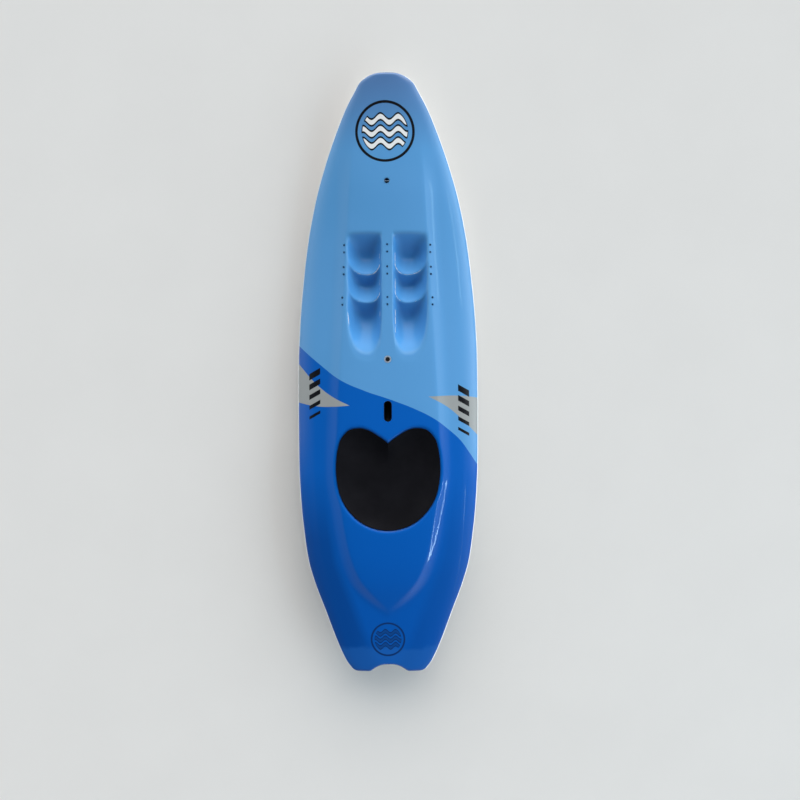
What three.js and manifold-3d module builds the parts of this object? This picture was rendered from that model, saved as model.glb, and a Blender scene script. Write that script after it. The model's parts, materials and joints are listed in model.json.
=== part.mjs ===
// Wave ski: a surf craft that is ridden sitting on the deck, with the feet in moulded wells.
// Millimetres. The ski is drawn with X running from the tail (0) to the nose, Y to port and Z up
// from the flat of the hull, and is then laid on the ground as it rests: on its fins and belly.
import * as THREE from 'three';
import { mergeVertices } from 'three/addons/utils/BufferGeometryUtils.js';
import Module from 'manifold-3d';

const wasm = await Module();
wasm.setup();

// Sizes shared by every piece
const seamGap = 0.3;
const overrun = 6;
const skinThickness = 3.5;
const weldTolerance = 1e-4;

// The ski as a whole
const skiLength = 2300;
const skiWidth = 710;
const deckThickness = 130;
const noseRocker = 165;
const tailRocker = 45;
const noseRockerStart = 1250;
const tailRockerStart = 950;
const noseRockerPower = 2.2;
const tailRockerPower = 1.9;
const endRadius = 14;
const noseRoundLength = 44;
const noseRoundShare = 0.8;

// Swallow-shaped cut-out in the middle of the tail
const tailNotchDepth = 27;
const tailNotchHalfWidth = 60;
const notchSegments = 12;

// Raised middle of the deck that carries the wells and the seat
const plateauHeight = 13;
const plateauEdge = 56;
const plateauEdgePower = 1.6;

// Each pair is a share of the length from the tail, and a share of the size that it follows
const halfWidthShares = [
  [0, 0.39], [0.018, 0.478], [0.052, 0.58], [0.103, 0.704], [0.155, 0.83], [0.189, 0.893],
  [0.223, 0.929], [0.292, 0.976], [0.361, 0.997], [0.45, 1], [0.533, 0.996], [0.601, 0.976],
  [0.67, 0.934], [0.737, 0.875], [0.803, 0.784], [0.852, 0.689], [0.899, 0.577], [0.945, 0.446],
  [0.975, 0.334], [1, 0.24],
];
const thicknessShares = [
  [0, 0.3], [0.05, 0.43], [0.12, 0.62], [0.2, 0.83], [0.3, 0.96], [0.42, 1], [0.56, 1],
  [0.68, 0.96], [0.78, 0.85], [0.88, 0.66], [0.95, 0.47], [1, 0.3],
];
const railHeightShares = [
  [0, 0.12], [0.05, 0.2], [0.15, 0.32], [0.35, 0.41], [0.5, 0.42], [0.7, 0.39], [0.85, 0.3],
  [0.95, 0.2], [1, 0.14],
];
const plateauWidthShares = [
  [0.1, 0.02], [0.135, 0.26], [0.165, 0.4], [0.213, 0.51], [0.263, 0.57], [0.348, 0.64],
  [0.45, 0.62], [0.56, 0.58], [0.71, 0.52], [0.857, 0.46], [1, 0.3],
];
const plateauHeightShares = [
  [0.09, 0], [0.16, 1], [0.35, 1.1], [0.8, 1], [0.93, 0], [1, 0],
];
const stationShares = [
  0, 0.03, 0.07, 0.11, 0.15, 0.19, 0.235, 0.29, 0.36, 0.45, 0.54, 0.62, 0.69, 0.75,
  0.81, 0.86, 0.905, 0.945, 0.972, 1,
];
const endRoundShares = [0, 0.35];
const endFaceShare = 0.35;
const hullColumnShares = [0, 0.5, 0.78, 0.92, 0.98];
const plateauTopShares = [0, 0.5, 1];
const plateauEdgeShares = [0.5, 1];
const shoulderShares = [0.45, 0.8, 0.96];
const deckRoundness = 2.3;
const hullRoundness = 3.4;
const plateauTopLimitShare = 0.16;
const plateauSideLimitShare = 0.9;

// Foot wells: two columns of three stepped scoops
const wellMiddle = 88;
const wellHalfWidth = 66;
const wellFront = 1705;
const wellEdgeLift = 1.5;
const wellLips = [1551, 1444, 1224];
const wellLipBows = [85, 85, 150];
const wellDepths = [70, 73, 76];
const wellLipDepths = [30, 30, 0];
const wellWallShares = [0.55, 0.38, 0.27];
const wellLipRoundness = 2.4;
const wellLipShift = 0.2;
const wellInnerSteepness = 4.5;
const wellOuterSteepness = 2.4;
const wellColumnShares = [-1, -0.94, -0.84, -0.7, -0.5, -0.2, 0.15, 0.45, 0.68, 0.86, 1];
const wellWallRowShares = [0.3, 0.65, 1];
const wellRowShares = [0.22, 0.45, 0.72, 1];
const wellWallRoundness = 1.7;
const wellFloorRise = 1.25;

// Seat bucket and the foam pad that lines it
const seatCentre = 760;
const seatHalfWidth = 200;
const seatDepth = 46;
const seatBowlPower = 3.6;
const seatRim = 9;
const seatEdgeLift = 1.2;
const seatOutlineShares = [
  [0, 0.7], [12, 0.855], [20, 1], [29, 1.14], [40, 1.22], [49, 1.2], [60, 1.125], [75, 1.04],
  [94, 0.985], [115, 0.97], [134, 0.965], [150, 0.97], [165, 0.97], [180, 0.97],
];
const seatRingShares = [0.35, 0.65, 0.86, 1];
const seatSegments = 36;
const padThickness = 6;
const padBevel = 2;

// Carry handle recess ahead of the seat
const handleCentre = 1024;
const handleLength = 80;
const handleWidth = 30;
const handleDepth = 42;
const handleWall = 2.5;
const handleEndSegments = 6;
const fittingProud = 0.4;

// Threaded inserts for foot straps: three rows of three pairs
const insertRadius = 4;
const insertBore = 2;
const insertLength = 16;
const insertBoreDepth = 12;
const insertPairSpacing = 27.5;
const insertRows = [1647, 1563.5, 1447];
const insertSides = [165, 167, 173];
const insertSegments = 10;

// Leash plug on the bow
const leashCentre = 1899;
const leashRadius = 12;
const leashWall = 2;
const leashDepth = 18;
const leashPinRadius = 1.8;
const leashPinDrop = 5;
const leashSegments = 18;

// Vent between the wells and the handle
const ventCentre = 1223;
const ventFlangeRadius = 14;
const ventFlangeThickness = 3;
const ventBodyRadius = 11;
const ventLength = 24;
const ventBore = 5;
const ventSeatRadius = 9;
const ventSeatDepth = 5;
const ventPlugHead = 8.5;
const ventPlugHeadThickness = 2.8;
const ventPlugLength = 18;
const ventSlotWidth = 2;
const ventSlotDepth = 1.4;
const ventRingTube = 0.8;
const ventRingSides = 6;
const ventSegments = 18;

// Fins and their boxes
const finBase = 112;
const finHeight = 108;
const finRake = 62;
const finThickness = 8;
const finTaperPower = 1.5;
const finSweepPower = 1.35;
const finTipRoundPower = 6;
const finTipCutShare = 0.82;
const finTipFlatShare = 0.7;
const finTipChordShare = 0.3;
const finTipThicknessShare = 0.28;
const finTabDepth = 14;
const finTabLength = 96;
const finTabThickness = 6.4;
const boxWallWidth = 6.5;
const boxEndWall = 9;
const boxFloor = 5;
const sideFinMiddle = 345;
const sideFinOffset = 186;
const sideFinCant = 5;
const sideFinToeIn = 2.5;
const centreFinMiddle = 165;
const centreFinTravel = 50;
const grubRadius = 2;
const grubLength = 9;
const grubSpacing = 56;
const screwSegments = 10;
const plateThickness = 3;
const plateLength = 14;
const plateWidth = 12;
const plateDrop = 11;
const tongueLength = 18;
const tongueThickness = 4;
const finScrewRadius = 2;
const finScrewHead = 3.4;
const finScrewHeadHeight = 2.4;

// Wooden stringer down the middle of the foam
const stringerThickness = 5;

const lightBlue = 0x5096d2;
const white = 0xeef0ee;
const foamWhite = 0xe6e4d8;
const padBlack = 0x16171c;
const moldedBlack = 0x101012;
const finGrey = 0x2a2c30;
const steelGrey = 0xa8abad;
const plywood = 0xc29a63;
const insertBlack = 0x1b1e24;

// Smooth curve through a table of pairs, without overshoot between them
function curveThrough(table, at) {
  const last = table.length - 1;
  if (at <= table[0][0]) return table[0][1];
  if (at >= table[last][0]) return table[last][1];
  const k = table.findIndex(([place], index) => index < last && at <= table[index + 1][0] && at >= place);
  const slope = (index) => (table[index + 1][1] - table[index][1]) / (table[index + 1][0] - table[index][0]);
  const tangent = (index) => {
    if (index === 0) return slope(0);
    if (index === last) return slope(last - 1);
    const before = slope(index - 1);
    const after = slope(index);
    return before * after <= 0 ? 0 : (2 * before * after) / (before + after);
  };
  const span = table[k + 1][0] - table[k][0];
  const t = (at - table[k][0]) / span;
  const rise = table[k + 1][1] - table[k][1];
  const ease = t * t * (3 - 2 * t);
  const swing = t * (1 - t) * (tangent(k) * (1 - t) - tangent(k + 1) * t) * span;
  const drift = ease * rise;
  return table[k][1] + drift + swing;
}

const smooth = (value) => {
  const t = THREE.MathUtils.clamp(value, 0, 1);
  return t * t * (3 - 2 * t);
};

// Lines of the ski
function hullBottom(x) {
  if (x > noseRockerStart) {
    return noseRocker * ((x - noseRockerStart) / (skiLength - noseRockerStart)) ** noseRockerPower;
  }
  if (x < tailRockerStart) {
    return tailRocker * ((tailRockerStart - x) / tailRockerStart) ** tailRockerPower;
  }
  return 0;
}

const railHeight = (x) => hullBottom(x) + deckThickness * curveThrough(railHeightShares, x / skiLength);

function halfWidth(x) {
  const wide = (skiWidth / 2) * curveThrough(halfWidthShares, x / skiLength);
  const intoNose = (x - (skiLength - noseRoundLength)) / noseRoundLength;
  return intoNose <= 0 ? wide : wide * Math.sqrt(1 - noseRoundShare * intoNose ** 2);
}

const plateauHalfWidth = (x) => (skiWidth / 2) * curveThrough(plateauWidthShares, x / skiLength);

function plateauRise(x, y) {
  const inside = (plateauHalfWidth(x) + plateauEdge / 2 - Math.abs(y)) / plateauEdge;
  const slope = THREE.MathUtils.clamp(inside, 0, 1) ** plateauEdgePower;
  return plateauHeight * curveThrough(plateauHeightShares, x / skiLength) * slope;
}

function deckHeight(x, y) {
  const across = Math.min(1, Math.abs(y) / halfWidth(x));
  const crown = (1 - across ** deckRoundness) ** (1 / deckRoundness);
  const top = hullBottom(x) + deckThickness * curveThrough(thicknessShares, x / skiLength);
  return railHeight(x) + (top - railHeight(x)) * crown + plateauRise(x, y) * crown;
}

function hullHeight(x, y) {
  const across = Math.min(1, Math.abs(y) / halfWidth(x));
  const bilge = 1 - (1 - across ** hullRoundness) ** (1 / hullRoundness);
  return hullBottom(x) + (railHeight(x) - hullBottom(x)) * bilge;
}

// Solids
function solidFrom(points, triangles) {
  return new wasm.Manifold(new wasm.Mesh({
    numProp: 3,
    vertProperties: new Float32Array(points.flat()),
    triVerts: new Uint32Array(triangles.flat()),
  }));
}

function solidOf(geometry) {
  const bare = new THREE.BufferGeometry();
  bare.setAttribute('position', geometry.getAttribute('position').clone());
  if (geometry.index) bare.setIndex(geometry.index.clone());
  const merged = mergeVertices(bare, weldTolerance);
  const corners = merged.getAttribute('position').array;
  const index = merged.index.array;
  const triangles = [];
  for (let i = 0; i < index.length; i += 3) {
    const [a, b, c] = [index[i], index[i + 1], index[i + 2]];
    if (a !== b && b !== c && a !== c) triangles.push(a, b, c);
  }
  return new wasm.Manifold(new wasm.Mesh({
    numProp: 3,
    vertProperties: new Float32Array(corners),
    triVerts: new Uint32Array(triangles),
  }));
}

function geometryOf(solid) {
  const mesh = solid.getMesh();
  const geometry = new THREE.BufferGeometry();
  const corners = new Float32Array(mesh.numVert * 3);
  for (let i = 0; i < mesh.numVert; i += 1) {
    for (let k = 0; k < 3; k += 1) corners[i * 3 + k] = mesh.vertProperties[i * mesh.numProp + k];
  }
  geometry.setAttribute('position', new THREE.BufferAttribute(corners, 3));
  geometry.setIndex(new THREE.BufferAttribute(new Uint32Array(mesh.triVerts), 1));
  return geometry;
}

const cutBy = (solid, tools) => tools.reduce((rest, tool) => rest.subtract(tool), solid);

// Closed skin over a row of rings that all have the same number of points
function loft(rings) {
  const count = rings[0].length;
  const points = rings.flat();
  const triangles = [];
  for (let i = 0; i + 1 < rings.length; i += 1) {
    for (let j = 0; j < count; j += 1) {
      const a = i * count + j;
      const b = i * count + ((j + 1) % count);
      triangles.push([a, b, b + count], [a, b + count, a + count]);
    }
  }
  const middleOf = (ring) => [0, 1, 2].map((k) => ring.reduce((sum, point) => sum + point[k], 0) / count);
  const first = points.length;
  points.push(middleOf(rings[0]), middleOf(rings[rings.length - 1]));
  const lastRing = (rings.length - 1) * count;
  for (let j = 0; j < count; j += 1) {
    const next = (j + 1) % count;
    triangles.push([first, next, j], [first + 1, lastRing + j, lastRing + next]);
  }
  return solidFrom(points, triangles);
}

// Closed body between a grid of floor points and a flat lid above it
function hollowOver(rows, lidHeight) {
  const floorCount = rows.length * rows[0].length;
  const width = rows[0].length;
  const floor = rows.flat();
  const lid = floor.map(([x, y]) => [x, y, lidHeight]);
  const triangles = [];
  for (let i = 0; i + 1 < rows.length; i += 1) {
    for (let j = 0; j + 1 < width; j += 1) {
      const a = i * width + j;
      triangles.push([a, a + 1, a + width + 1], [a, a + width + 1, a + width]);
      const b = a + floorCount;
      triangles.push([b, b + width + 1, b + 1], [b, b + width, b + width + 1]);
    }
  }
  const border = [];
  for (let j = 0; j + 1 < width; j += 1) border.push(j);
  for (let i = 0; i + 1 < rows.length; i += 1) border.push(i * width + width - 1);
  for (let j = width - 1; j > 0; j -= 1) border.push((rows.length - 1) * width + j);
  for (let i = rows.length - 1; i > 0; i -= 1) border.push(i * width);
  border.forEach((from, index) => {
    const to = border[(index + 1) % border.length];
    triangles.push([from, from + floorCount, to + floorCount], [from, to + floorCount, to]);
  });
  return solidFrom(floor.concat(lid), triangles);
}

// Round body about a vertical axis, from pairs of radius and height
function turned(profile, segments) {
  return solidOf(new THREE.LatheGeometry(profile.map(([r, z]) => new THREE.Vector2(r, z)), segments)
    .rotateX(Math.PI / 2));
}

function rod(radius, from, to, segments) {
  return turned([[0, from], [radius, from], [radius, to], [0, to]], segments);
}

function block(length, width, height) {
  return solidOf(new THREE.BoxGeometry(length, width, height));
}

// Flat-topped body with round ends, standing between two heights
function roundEnded(length, width, from, to) {
  const shape = new THREE.Shape();
  const straight = (length - width) / 2;
  const radius = width / 2;
  shape.moveTo(-straight, -radius);
  shape.lineTo(straight, -radius);
  shape.absarc(straight, 0, radius, -Math.PI / 2, Math.PI / 2, false);
  shape.lineTo(-straight, radius);
  shape.absarc(-straight, 0, radius, Math.PI / 2, Math.PI * 1.5, false);
  const solid = new THREE.ExtrudeGeometry(shape, {
    depth: to - from,
    bevelEnabled: false,
    curveSegments: handleEndSegments,
  });
  return solidOf(solid.translate(0, 0, from));
}

// Body of the ski, drawn in by an inset all round
function deckColumns(x) {
  const half = halfWidth(x);
  const sideLimit = half * plateauSideLimitShare;
  const outer = Math.min(plateauHalfWidth(x) + plateauEdge / 2, sideLimit);
  const inner = Math.max(Math.min(plateauHalfWidth(x) - plateauEdge / 2, outer - plateauEdge),
    half * plateauTopLimitShare);
  const edge = Math.max(outer, inner + half * plateauTopLimitShare);
  const top = plateauTopShares.map((share) => share * inner);
  const bevel = plateauEdgeShares.map((share) => inner + share * (edge - inner));
  const shoulder = shoulderShares.map((share) => edge + share * (half - edge));
  return [...top, ...bevel, ...shoulder].map((y) => y / half);
}

// One section: drawn in by the inset, and drawn in further where the ends are rounded off
function bodyRing(x, inset, rounding) {
  const half = halfWidth(x);
  const rail = railHeight(x);
  const narrow = Math.max(half - inset - rounding * endRadius, seamGap);
  const above = (1 - inset / (deckHeight(x, 0) - rail)) * (1 - rounding);
  const below = (1 - inset / (rail - hullHeight(x, 0))) * (1 - rounding);
  const port = [];
  hullColumnShares.forEach((share) => {
    port.push([x, share * narrow, rail - (rail - hullHeight(x, share * half)) * below]);
  });
  port.push([x, narrow, rail]);
  deckColumns(x).reverse().forEach((share) => {
    port.push([x, share * narrow, rail + (deckHeight(x, share * half) - rail) * above]);
  });
  const starboard = port.slice(1, -1).reverse().map(([px, py, pz]) => [px, -py, pz]);
  return [...port, ...starboard];
}

const roundingAt = (share) => (1 - endFaceShare) * (1 - Math.sqrt(1 - (1 - share) ** 2));

function skiBody(inset) {
  const tailEnd = inset;
  const noseEnd = skiLength - inset;
  const roundedRing = (x, share) => bodyRing(x, inset, roundingAt(share));
  const rings = endRoundShares.map((share) => roundedRing(tailEnd + endRadius * share, share));
  stationShares.forEach((share) => {
    const x = share * skiLength;
    if (x > tailEnd + endRadius && x < noseEnd - endRadius) rings.push(bodyRing(x, inset, 0));
  });
  [...endRoundShares].reverse().forEach((share) => {
    rings.push(roundedRing(noseEnd - endRadius * share, share));
  });
  const notch = new THREE.Shape();
  notch.absellipse(0, 0, tailNotchDepth + inset, tailNotchHalfWidth + inset, 0, Math.PI * 2);
  const cutter = new THREE.ExtrudeGeometry(notch, {
    depth: deckThickness + tailRocker,
    bevelEnabled: false,
    curveSegments: notchSegments,
  });
  return loft(rings).subtract(solidOf(cutter));
}

// Everything above (or below) the line of the rails
function railSide(above) {
  const shape = new THREE.Shape();
  const sign = above ? 1 : -1;
  const far = above ? 2 * lidHeight : -lidHeight;
  shape.moveTo(-overrun, railHeight(0) + (sign * seamGap) / 2);
  stationShares.forEach((share) => {
    shape.lineTo(share * skiLength, railHeight(share * skiLength) + (sign * seamGap) / 2);
  });
  shape.lineTo(skiLength + overrun, railHeight(skiLength) + (sign * seamGap) / 2);
  shape.lineTo(skiLength + overrun, far);
  shape.lineTo(-overrun, far);
  const side = new THREE.ExtrudeGeometry(shape, { depth: skiWidth * 2, bevelEnabled: false });
  return solidOf(side.rotateX(Math.PI / 2).translate(0, skiWidth, 0));
}

const lidHeight = noseRocker + deckThickness + plateauHeight;

// Foot wells
function wellProfile(index, along) {
  const start = index === 0 ? 0 : wellLipDepths[index - 1];
  const deepest = wellDepths[index];
  const end = wellLipDepths[index];
  const wall = wellWallShares[index];
  if (along < wall) return start + (deepest - start) * (1 - (1 - along / wall) ** wellWallRoundness);
  const climb = (along - wall) / (1 - wall);
  const rise = end > 0 ? climb ** wellFloorRise : smooth(climb);
  return deepest + (end - deepest) * rise;
}

const wellSide = (across) => 1 - Math.abs(across) ** (across < 0 ? wellInnerSteepness : wellOuterSteepness);

// Only the outermost columns of a well move out with the inset, so that nested walls keep one shape
const wellEdgeShift = (across, inset) => (Math.abs(across) < 1 ? 0 : Math.sign(across) * inset);

// The lips bow towards the tail, most of all a little inside the middle of the well
function lipBow(across) {
  const shifted = across + wellLipShift;
  const share = Math.abs(shifted) / (1 + Math.sign(shifted) * wellLipShift);
  return 1 - (1 - Math.min(1, share) ** wellLipRoundness) ** (1 / wellLipRoundness);
}

// Where the lip behind a well lies; past the side of the well it runs on in a straight line
function lipPlace(index, across, inset) {
  if (index < 0) return wellFront;
  const neighbour = wellColumnShares.at(across < 0 ? 1 : -2);
  const beyond = Math.abs(wellEdgeShift(across, inset)) / (wellHalfWidth * (1 - Math.abs(neighbour)));
  const bow = lipBow(across) + (lipBow(across) - lipBow(neighbour)) * beyond;
  return wellLips[index] + wellLipBows[index] * bow;
}

function footWells(side, inset) {
  const rows = [];
  const wallPoint = (index, along, across) => {
    const from = lipPlace(index - 1, across, inset) + (index === 0 ? inset : 0);
    const to = lipPlace(index, across, inset) - (index === wellLips.length - 1 ? inset : 0);
    const x = from + (to - from) * along;
    const y = side * (wellMiddle + wellHalfWidth * across + wellEdgeShift(across, inset));
    const depth = wellSide(across) * wellProfile(index, along) + inset - wellEdgeLift;
    return [x, y, deckHeight(x, y) - depth];
  };
  wellWallShares.forEach((wall, index) => {
    const wallSteps = wellWallRowShares.map((share) => wall * share);
    const steps = [...wallSteps, ...wellRowShares.map((share) => wall + (1 - wall) * share)];
    if (index === 0) steps.unshift(0);
    steps.forEach((along) => rows.push(wellColumnShares.map((across) => wallPoint(index, along, across))));
  });
  return hollowOver(side < 0 ? rows : rows.map((row) => [...row].reverse()), lidHeight);
}

// Seat bucket, round a centre, with a point at the front between the legs
const seatReach = (degrees) => seatHalfWidth * curveThrough(seatOutlineShares, Math.abs(degrees));

function seatPoint(segment, reach) {
  const degrees = (segment / seatSegments) * 360;
  const angle = THREE.MathUtils.degToRad(degrees);
  const radius = reach(degrees > 180 ? degrees - 360 : degrees);
  return [seatCentre + radius * Math.cos(angle), radius * Math.sin(angle)];
}

const bowlDrop = (share) => seatDepth * (1 - share ** seatBowlPower);

function ringsToSolid(upper, lower) {
  const points = [...upper.flat(), ...lower.flat()];
  const count = seatSegments;
  const triangles = [];
  const sheet = (first, rings, flip) => {
    const centre = points.length;
    points.push(rings.centre);
    for (let j = 0; j < count; j += 1) {
      const next = (j + 1) % count;
      triangles.push(flip ? [centre, first + next, first + j] : [centre, first + j, first + next]);
    }
    for (let i = 0; i + 1 < rings.total; i += 1) {
      for (let j = 0; j < count; j += 1) {
        const a = first + i * count + j;
        const b = first + i * count + ((j + 1) % count);
        const quad = [[a, a + count, b + count], [a, b + count, b]];
        quad.forEach(([p, q, r]) => triangles.push(flip ? [p, r, q] : [p, q, r]));
      }
    }
  };
  const centreOf = (rings) => [seatCentre, 0, rings[0].reduce((sum, point) => sum + point[2], 0) / count];
  sheet(0, { total: upper.length, centre: centreOf(upper) }, false);
  sheet(upper.length * count, { total: lower.length, centre: centreOf(lower) }, true);
  const top = (upper.length - 1) * count;
  const bottom = (upper.length + lower.length - 1) * count;
  for (let j = 0; j < count; j += 1) {
    const next = (j + 1) % count;
    triangles.push([top + j, bottom + j, bottom + next], [top + j, bottom + next, top + next]);
  }
  return solidFrom(points, triangles);
}

function bucketPoint(segment, share, inset) {
  const [x, y] = seatPoint(segment, (degrees) => (seatReach(degrees) + seatRim + inset) * share);
  return [x, y, deckHeight(x, y) - bowlDrop(share) - inset + seatEdgeLift];
}

const aroundSeat = (pointOf) => Array.from({ length: seatSegments }, (_, segment) => pointOf(segment));

function seatBucket(inset) {
  const floor = seatRingShares.map((share) => aroundSeat((segment) => bucketPoint(segment, share, inset)));
  const lid = floor.map((ring) => ring.map(([x, y]) => [x, y, lidHeight]));
  return ringsToSolid(lid, floor);
}

// The pad ends on the wall between the last two rings of the bucket, a rim's width inside its edge
function seatPad() {
  const [wallFoot, wallHead] = seatRingShares.slice(-2);
  const edgePoint = (segment, drawIn, lift) => {
    const reach = seatPoint(segment, (degrees) => seatReach(degrees) - drawIn);
    const foot = bucketPoint(segment, wallFoot, 0);
    const head = bucketPoint(segment, wallHead, 0);
    const along = (reach[0] - foot[0]) * (head[0] - foot[0]) + (reach[1] - foot[1]) * (head[1] - foot[1]);
    const share = along / ((head[0] - foot[0]) ** 2 + (head[1] - foot[1]) ** 2);
    return [reach[0], reach[1], foot[2] + (head[2] - foot[2]) * share + lift];
  };
  const layer = (share, lift) => aroundSeat((segment) => {
    const [x, y, z] = bucketPoint(segment, share, 0);
    return [x, y, z + lift];
  });
  const edge = (drawIn, lift) => aroundSeat((segment) => edgePoint(segment, drawIn, lift));
  const innerShares = seatRingShares.slice(0, -1);
  const lower = [...innerShares.map((share) => layer(share, seamGap)), edge(0, 2 * seamGap)];
  const upper = innerShares.map((share) => layer(share, padThickness));
  upper.push(edge(padBevel, padThickness), edge(0, padThickness - padBevel));
  return ringsToSolid(upper, lower);
}

// Small fittings let into the deck
function insertAt(x, y, clearance) {
  const top = deckHeight(x, y) + fittingProud + (clearance > 0 ? overrun : 0);
  const bottom = deckHeight(x, y) - insertLength - clearance;
  const solid = rod(insertRadius + clearance, bottom, top, insertSegments);
  const bored = clearance > 0 ? solid
    : solid.subtract(rod(insertBore, deckHeight(x, y) - insertBoreDepth, top + overrun, insertSegments));
  return bored.translate([x, y, 0]);
}

function insertPlaces() {
  const places = [];
  insertRows.forEach((rowCentre, row) => {
    [insertSides[row], 0, -insertSides[row]].forEach((y) => {
      [1, -1].forEach((end) => places.push([rowCentre + (end * insertPairSpacing) / 2, y]));
    });
  });
  return places;
}

const handleTop = deckHeight(handleCentre, 0) + fittingProud;

function handleCup() {
  const outer = roundEnded(handleLength, handleWidth, handleTop - handleDepth, handleTop);
  const inner = roundEnded(handleLength - 2 * handleWall, handleWidth - 2 * handleWall,
    handleTop - handleDepth + handleWall, handleTop + overrun);
  return outer.subtract(inner).translate([handleCentre, 0, 0]);
}

const handleRoom = () => roundEnded(handleLength + 2 * seamGap, handleWidth + 2 * seamGap,
  handleTop - handleDepth - seamGap, handleTop + overrun).translate([handleCentre, 0, 0]);

const leashTop = deckHeight(leashCentre, 0) + fittingProud;
const leashPinHeight = leashTop - leashPinDrop;

function leashPinAt(clearance, length) {
  return rod(leashPinRadius + clearance, -length / 2, length / 2, insertSegments)
    .rotate([90, 0, 0]).translate([leashCentre, 0, leashPinHeight]);
}

function leashPlug() {
  const bottom = leashTop - leashDepth;
  const cup = rod(leashRadius, bottom, leashTop, leashSegments);
  const well = rod(leashRadius - leashWall, bottom + leashWall, leashTop + overrun, leashSegments);
  return cup.subtract(well).translate([leashCentre, 0, 0])
    .subtract(leashPinAt(seamGap, 2 * leashRadius + overrun));
}

function leashRoom() {
  const bottom = leashTop - leashDepth - seamGap;
  return rod(leashRadius + seamGap, bottom, leashTop + overrun, leashSegments).translate([leashCentre, 0, 0]);
}

const ventTop = deckHeight(ventCentre, 0) + fittingProud;
const ventSeatFloor = ventTop - ventSeatDepth;

function ventSocket() {
  const outside = [
    [ventBore, ventTop - ventLength], [ventBodyRadius, ventTop - ventLength],
    [ventBodyRadius, ventTop - ventFlangeThickness], [ventFlangeRadius, ventTop - ventFlangeThickness],
    [ventFlangeRadius, ventTop], [ventSeatRadius, ventTop],
    [ventSeatRadius, ventSeatFloor], [ventBore, ventSeatFloor], [ventBore, ventTop - ventLength],
  ];
  return turned(outside, ventSegments).translate([ventCentre, 0, 0]);
}

function ventRoom(clearance) {
  const flange = rod(ventFlangeRadius + clearance, ventTop - ventFlangeThickness - clearance,
    ventTop + overrun, ventSegments);
  const body = rod(ventBodyRadius + clearance, ventTop - ventLength - clearance,
    ventTop + overrun, ventSegments);
  return flange.add(body).translate([ventCentre, 0, 0]);
}

const ventHeadBottom = ventSeatFloor + 2 * ventRingTube + 2 * seamGap;

function ventPlug() {
  const headTop = ventHeadBottom + ventPlugHeadThickness;
  const shank = ventBore - seamGap;
  const profile = [
    [0, headTop - ventPlugLength], [shank, headTop - ventPlugLength], [shank, ventHeadBottom],
    [ventPlugHead, ventHeadBottom], [ventPlugHead, headTop], [0, headTop],
  ];
  const slot = block(2 * ventPlugHead + overrun, ventSlotWidth, 2 * ventSlotDepth).translate([0, 0, headTop]);
  return turned(profile, ventSegments).subtract(slot).translate([ventCentre, 0, 0]);
}

function ventRing() {
  const middle = ventBore + ventRingTube + seamGap;
  const height = ventSeatFloor + seamGap + ventRingTube;
  const circle = [];
  for (let k = 0; k <= ventRingSides; k += 1) {
    const angle = (k / ventRingSides) * Math.PI * 2;
    circle.push([middle + ventRingTube * Math.cos(angle), height + ventRingTube * Math.sin(angle)]);
  }
  return turned(circle, ventSegments).translate([ventCentre, 0, 0]);
}

// Fins: drawn hanging down from the hull line, leading edge towards the nose
const foilShares = [
  [0, 0], [0.06, 0.55], [0.2, 0.92], [0.4, 1], [0.65, 0.78], [0.88, 0.34], [1, 0.06],
];
const finHeightShares = [1, 0.94, 0.82, 0.64, 0.42, 0.2, 0];

function finBlade() {
  const rings = finHeightShares.map((down) => {
    const tip = down ** finTipRoundPower;
    const narrowing = 1 - (1 - finTipChordShare) * down ** finTaperPower;
    const chord = finBase * narrowing * Math.sqrt(1 - finTipCutShare * tip);
    const thinning = 1 - (1 - finTipThicknessShare) * down;
    const thickness = finThickness * thinning * Math.sqrt(1 - finTipFlatShare * tip);
    const leading = finBase / 2 - finRake * down ** finSweepPower - (finBase * narrowing - chord) / 2;
    const left = foilShares.map(([along, half]) => [leading - along * chord, (half * thickness) / 2]);
    const right = left.slice(1).reverse().map(([x, y]) => [x, -y]);
    const blunt = [...left, ...right];
    return blunt.map(([x, y]) => [x, y, -down * finHeight]);
  });
  return loft(rings);
}

function finWithTab(tabThickness, tabDepth) {
  const tab = block(finTabLength, tabThickness, tabDepth + 2 * seamGap)
    .translate([0, 0, tabDepth / 2 - seamGap]);
  return finBlade().translate([0, 0, -seamGap]).add(tab);
}

function boxOutline(slotLength, slotWidth, slotDepth, clearance) {
  return roundEnded(slotLength + 2 * boxEndWall + 2 * clearance, slotWidth + 2 * boxWallWidth + 2 * clearance,
    -overrun, slotDepth + boxFloor + clearance);
}

const slopeAt = (x) => Math.atan2(hullBottom(x + overrun) - hullBottom(x - overrun), 2 * overrun);

// Places a fin piece on the hull: tilted with the rocker, leaning out and toed in
function onHull(solid, x, side) {
  const y = side * sideFinOffset;
  const canted = solid.rotate([side * sideFinCant, 0, 0]).rotate([0, 0, side * sideFinToeIn * -1]);
  const tilt = THREE.MathUtils.radToDeg(slopeAt(x));
  return canted.rotate([0, -tilt, 0]).translate([x, y, hullHeight(x, y)]);
}

const sideSlotWidth = finTabThickness + 2 * seamGap;
const sideSlotLength = finTabLength + 2 * seamGap;
const sideSlotDepth = finTabDepth + seamGap;
const grubOffset = sideSlotWidth / 2 + boxWallWidth / 2;

const grubPlaces = [grubSpacing / 2, -grubSpacing / 2];
const grubScrew = () => rod(grubRadius, seamGap, grubLength, screwSegments);
const grubHole = () => rod(grubRadius + seamGap, -overrun, grubLength + seamGap, screwSegments);

function sideFinBox(body, side) {
  const slot = block(sideSlotLength, sideSlotWidth, 2 * sideSlotDepth);
  const holes = grubPlaces.map((x) => grubHole().translate([x, side * grubOffset, 0]));
  const box = boxOutline(sideSlotLength, sideSlotWidth, sideSlotDepth, 0);
  return onHull(cutBy(box, [slot, ...holes]), sideFinMiddle, side).intersect(body);
}

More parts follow.
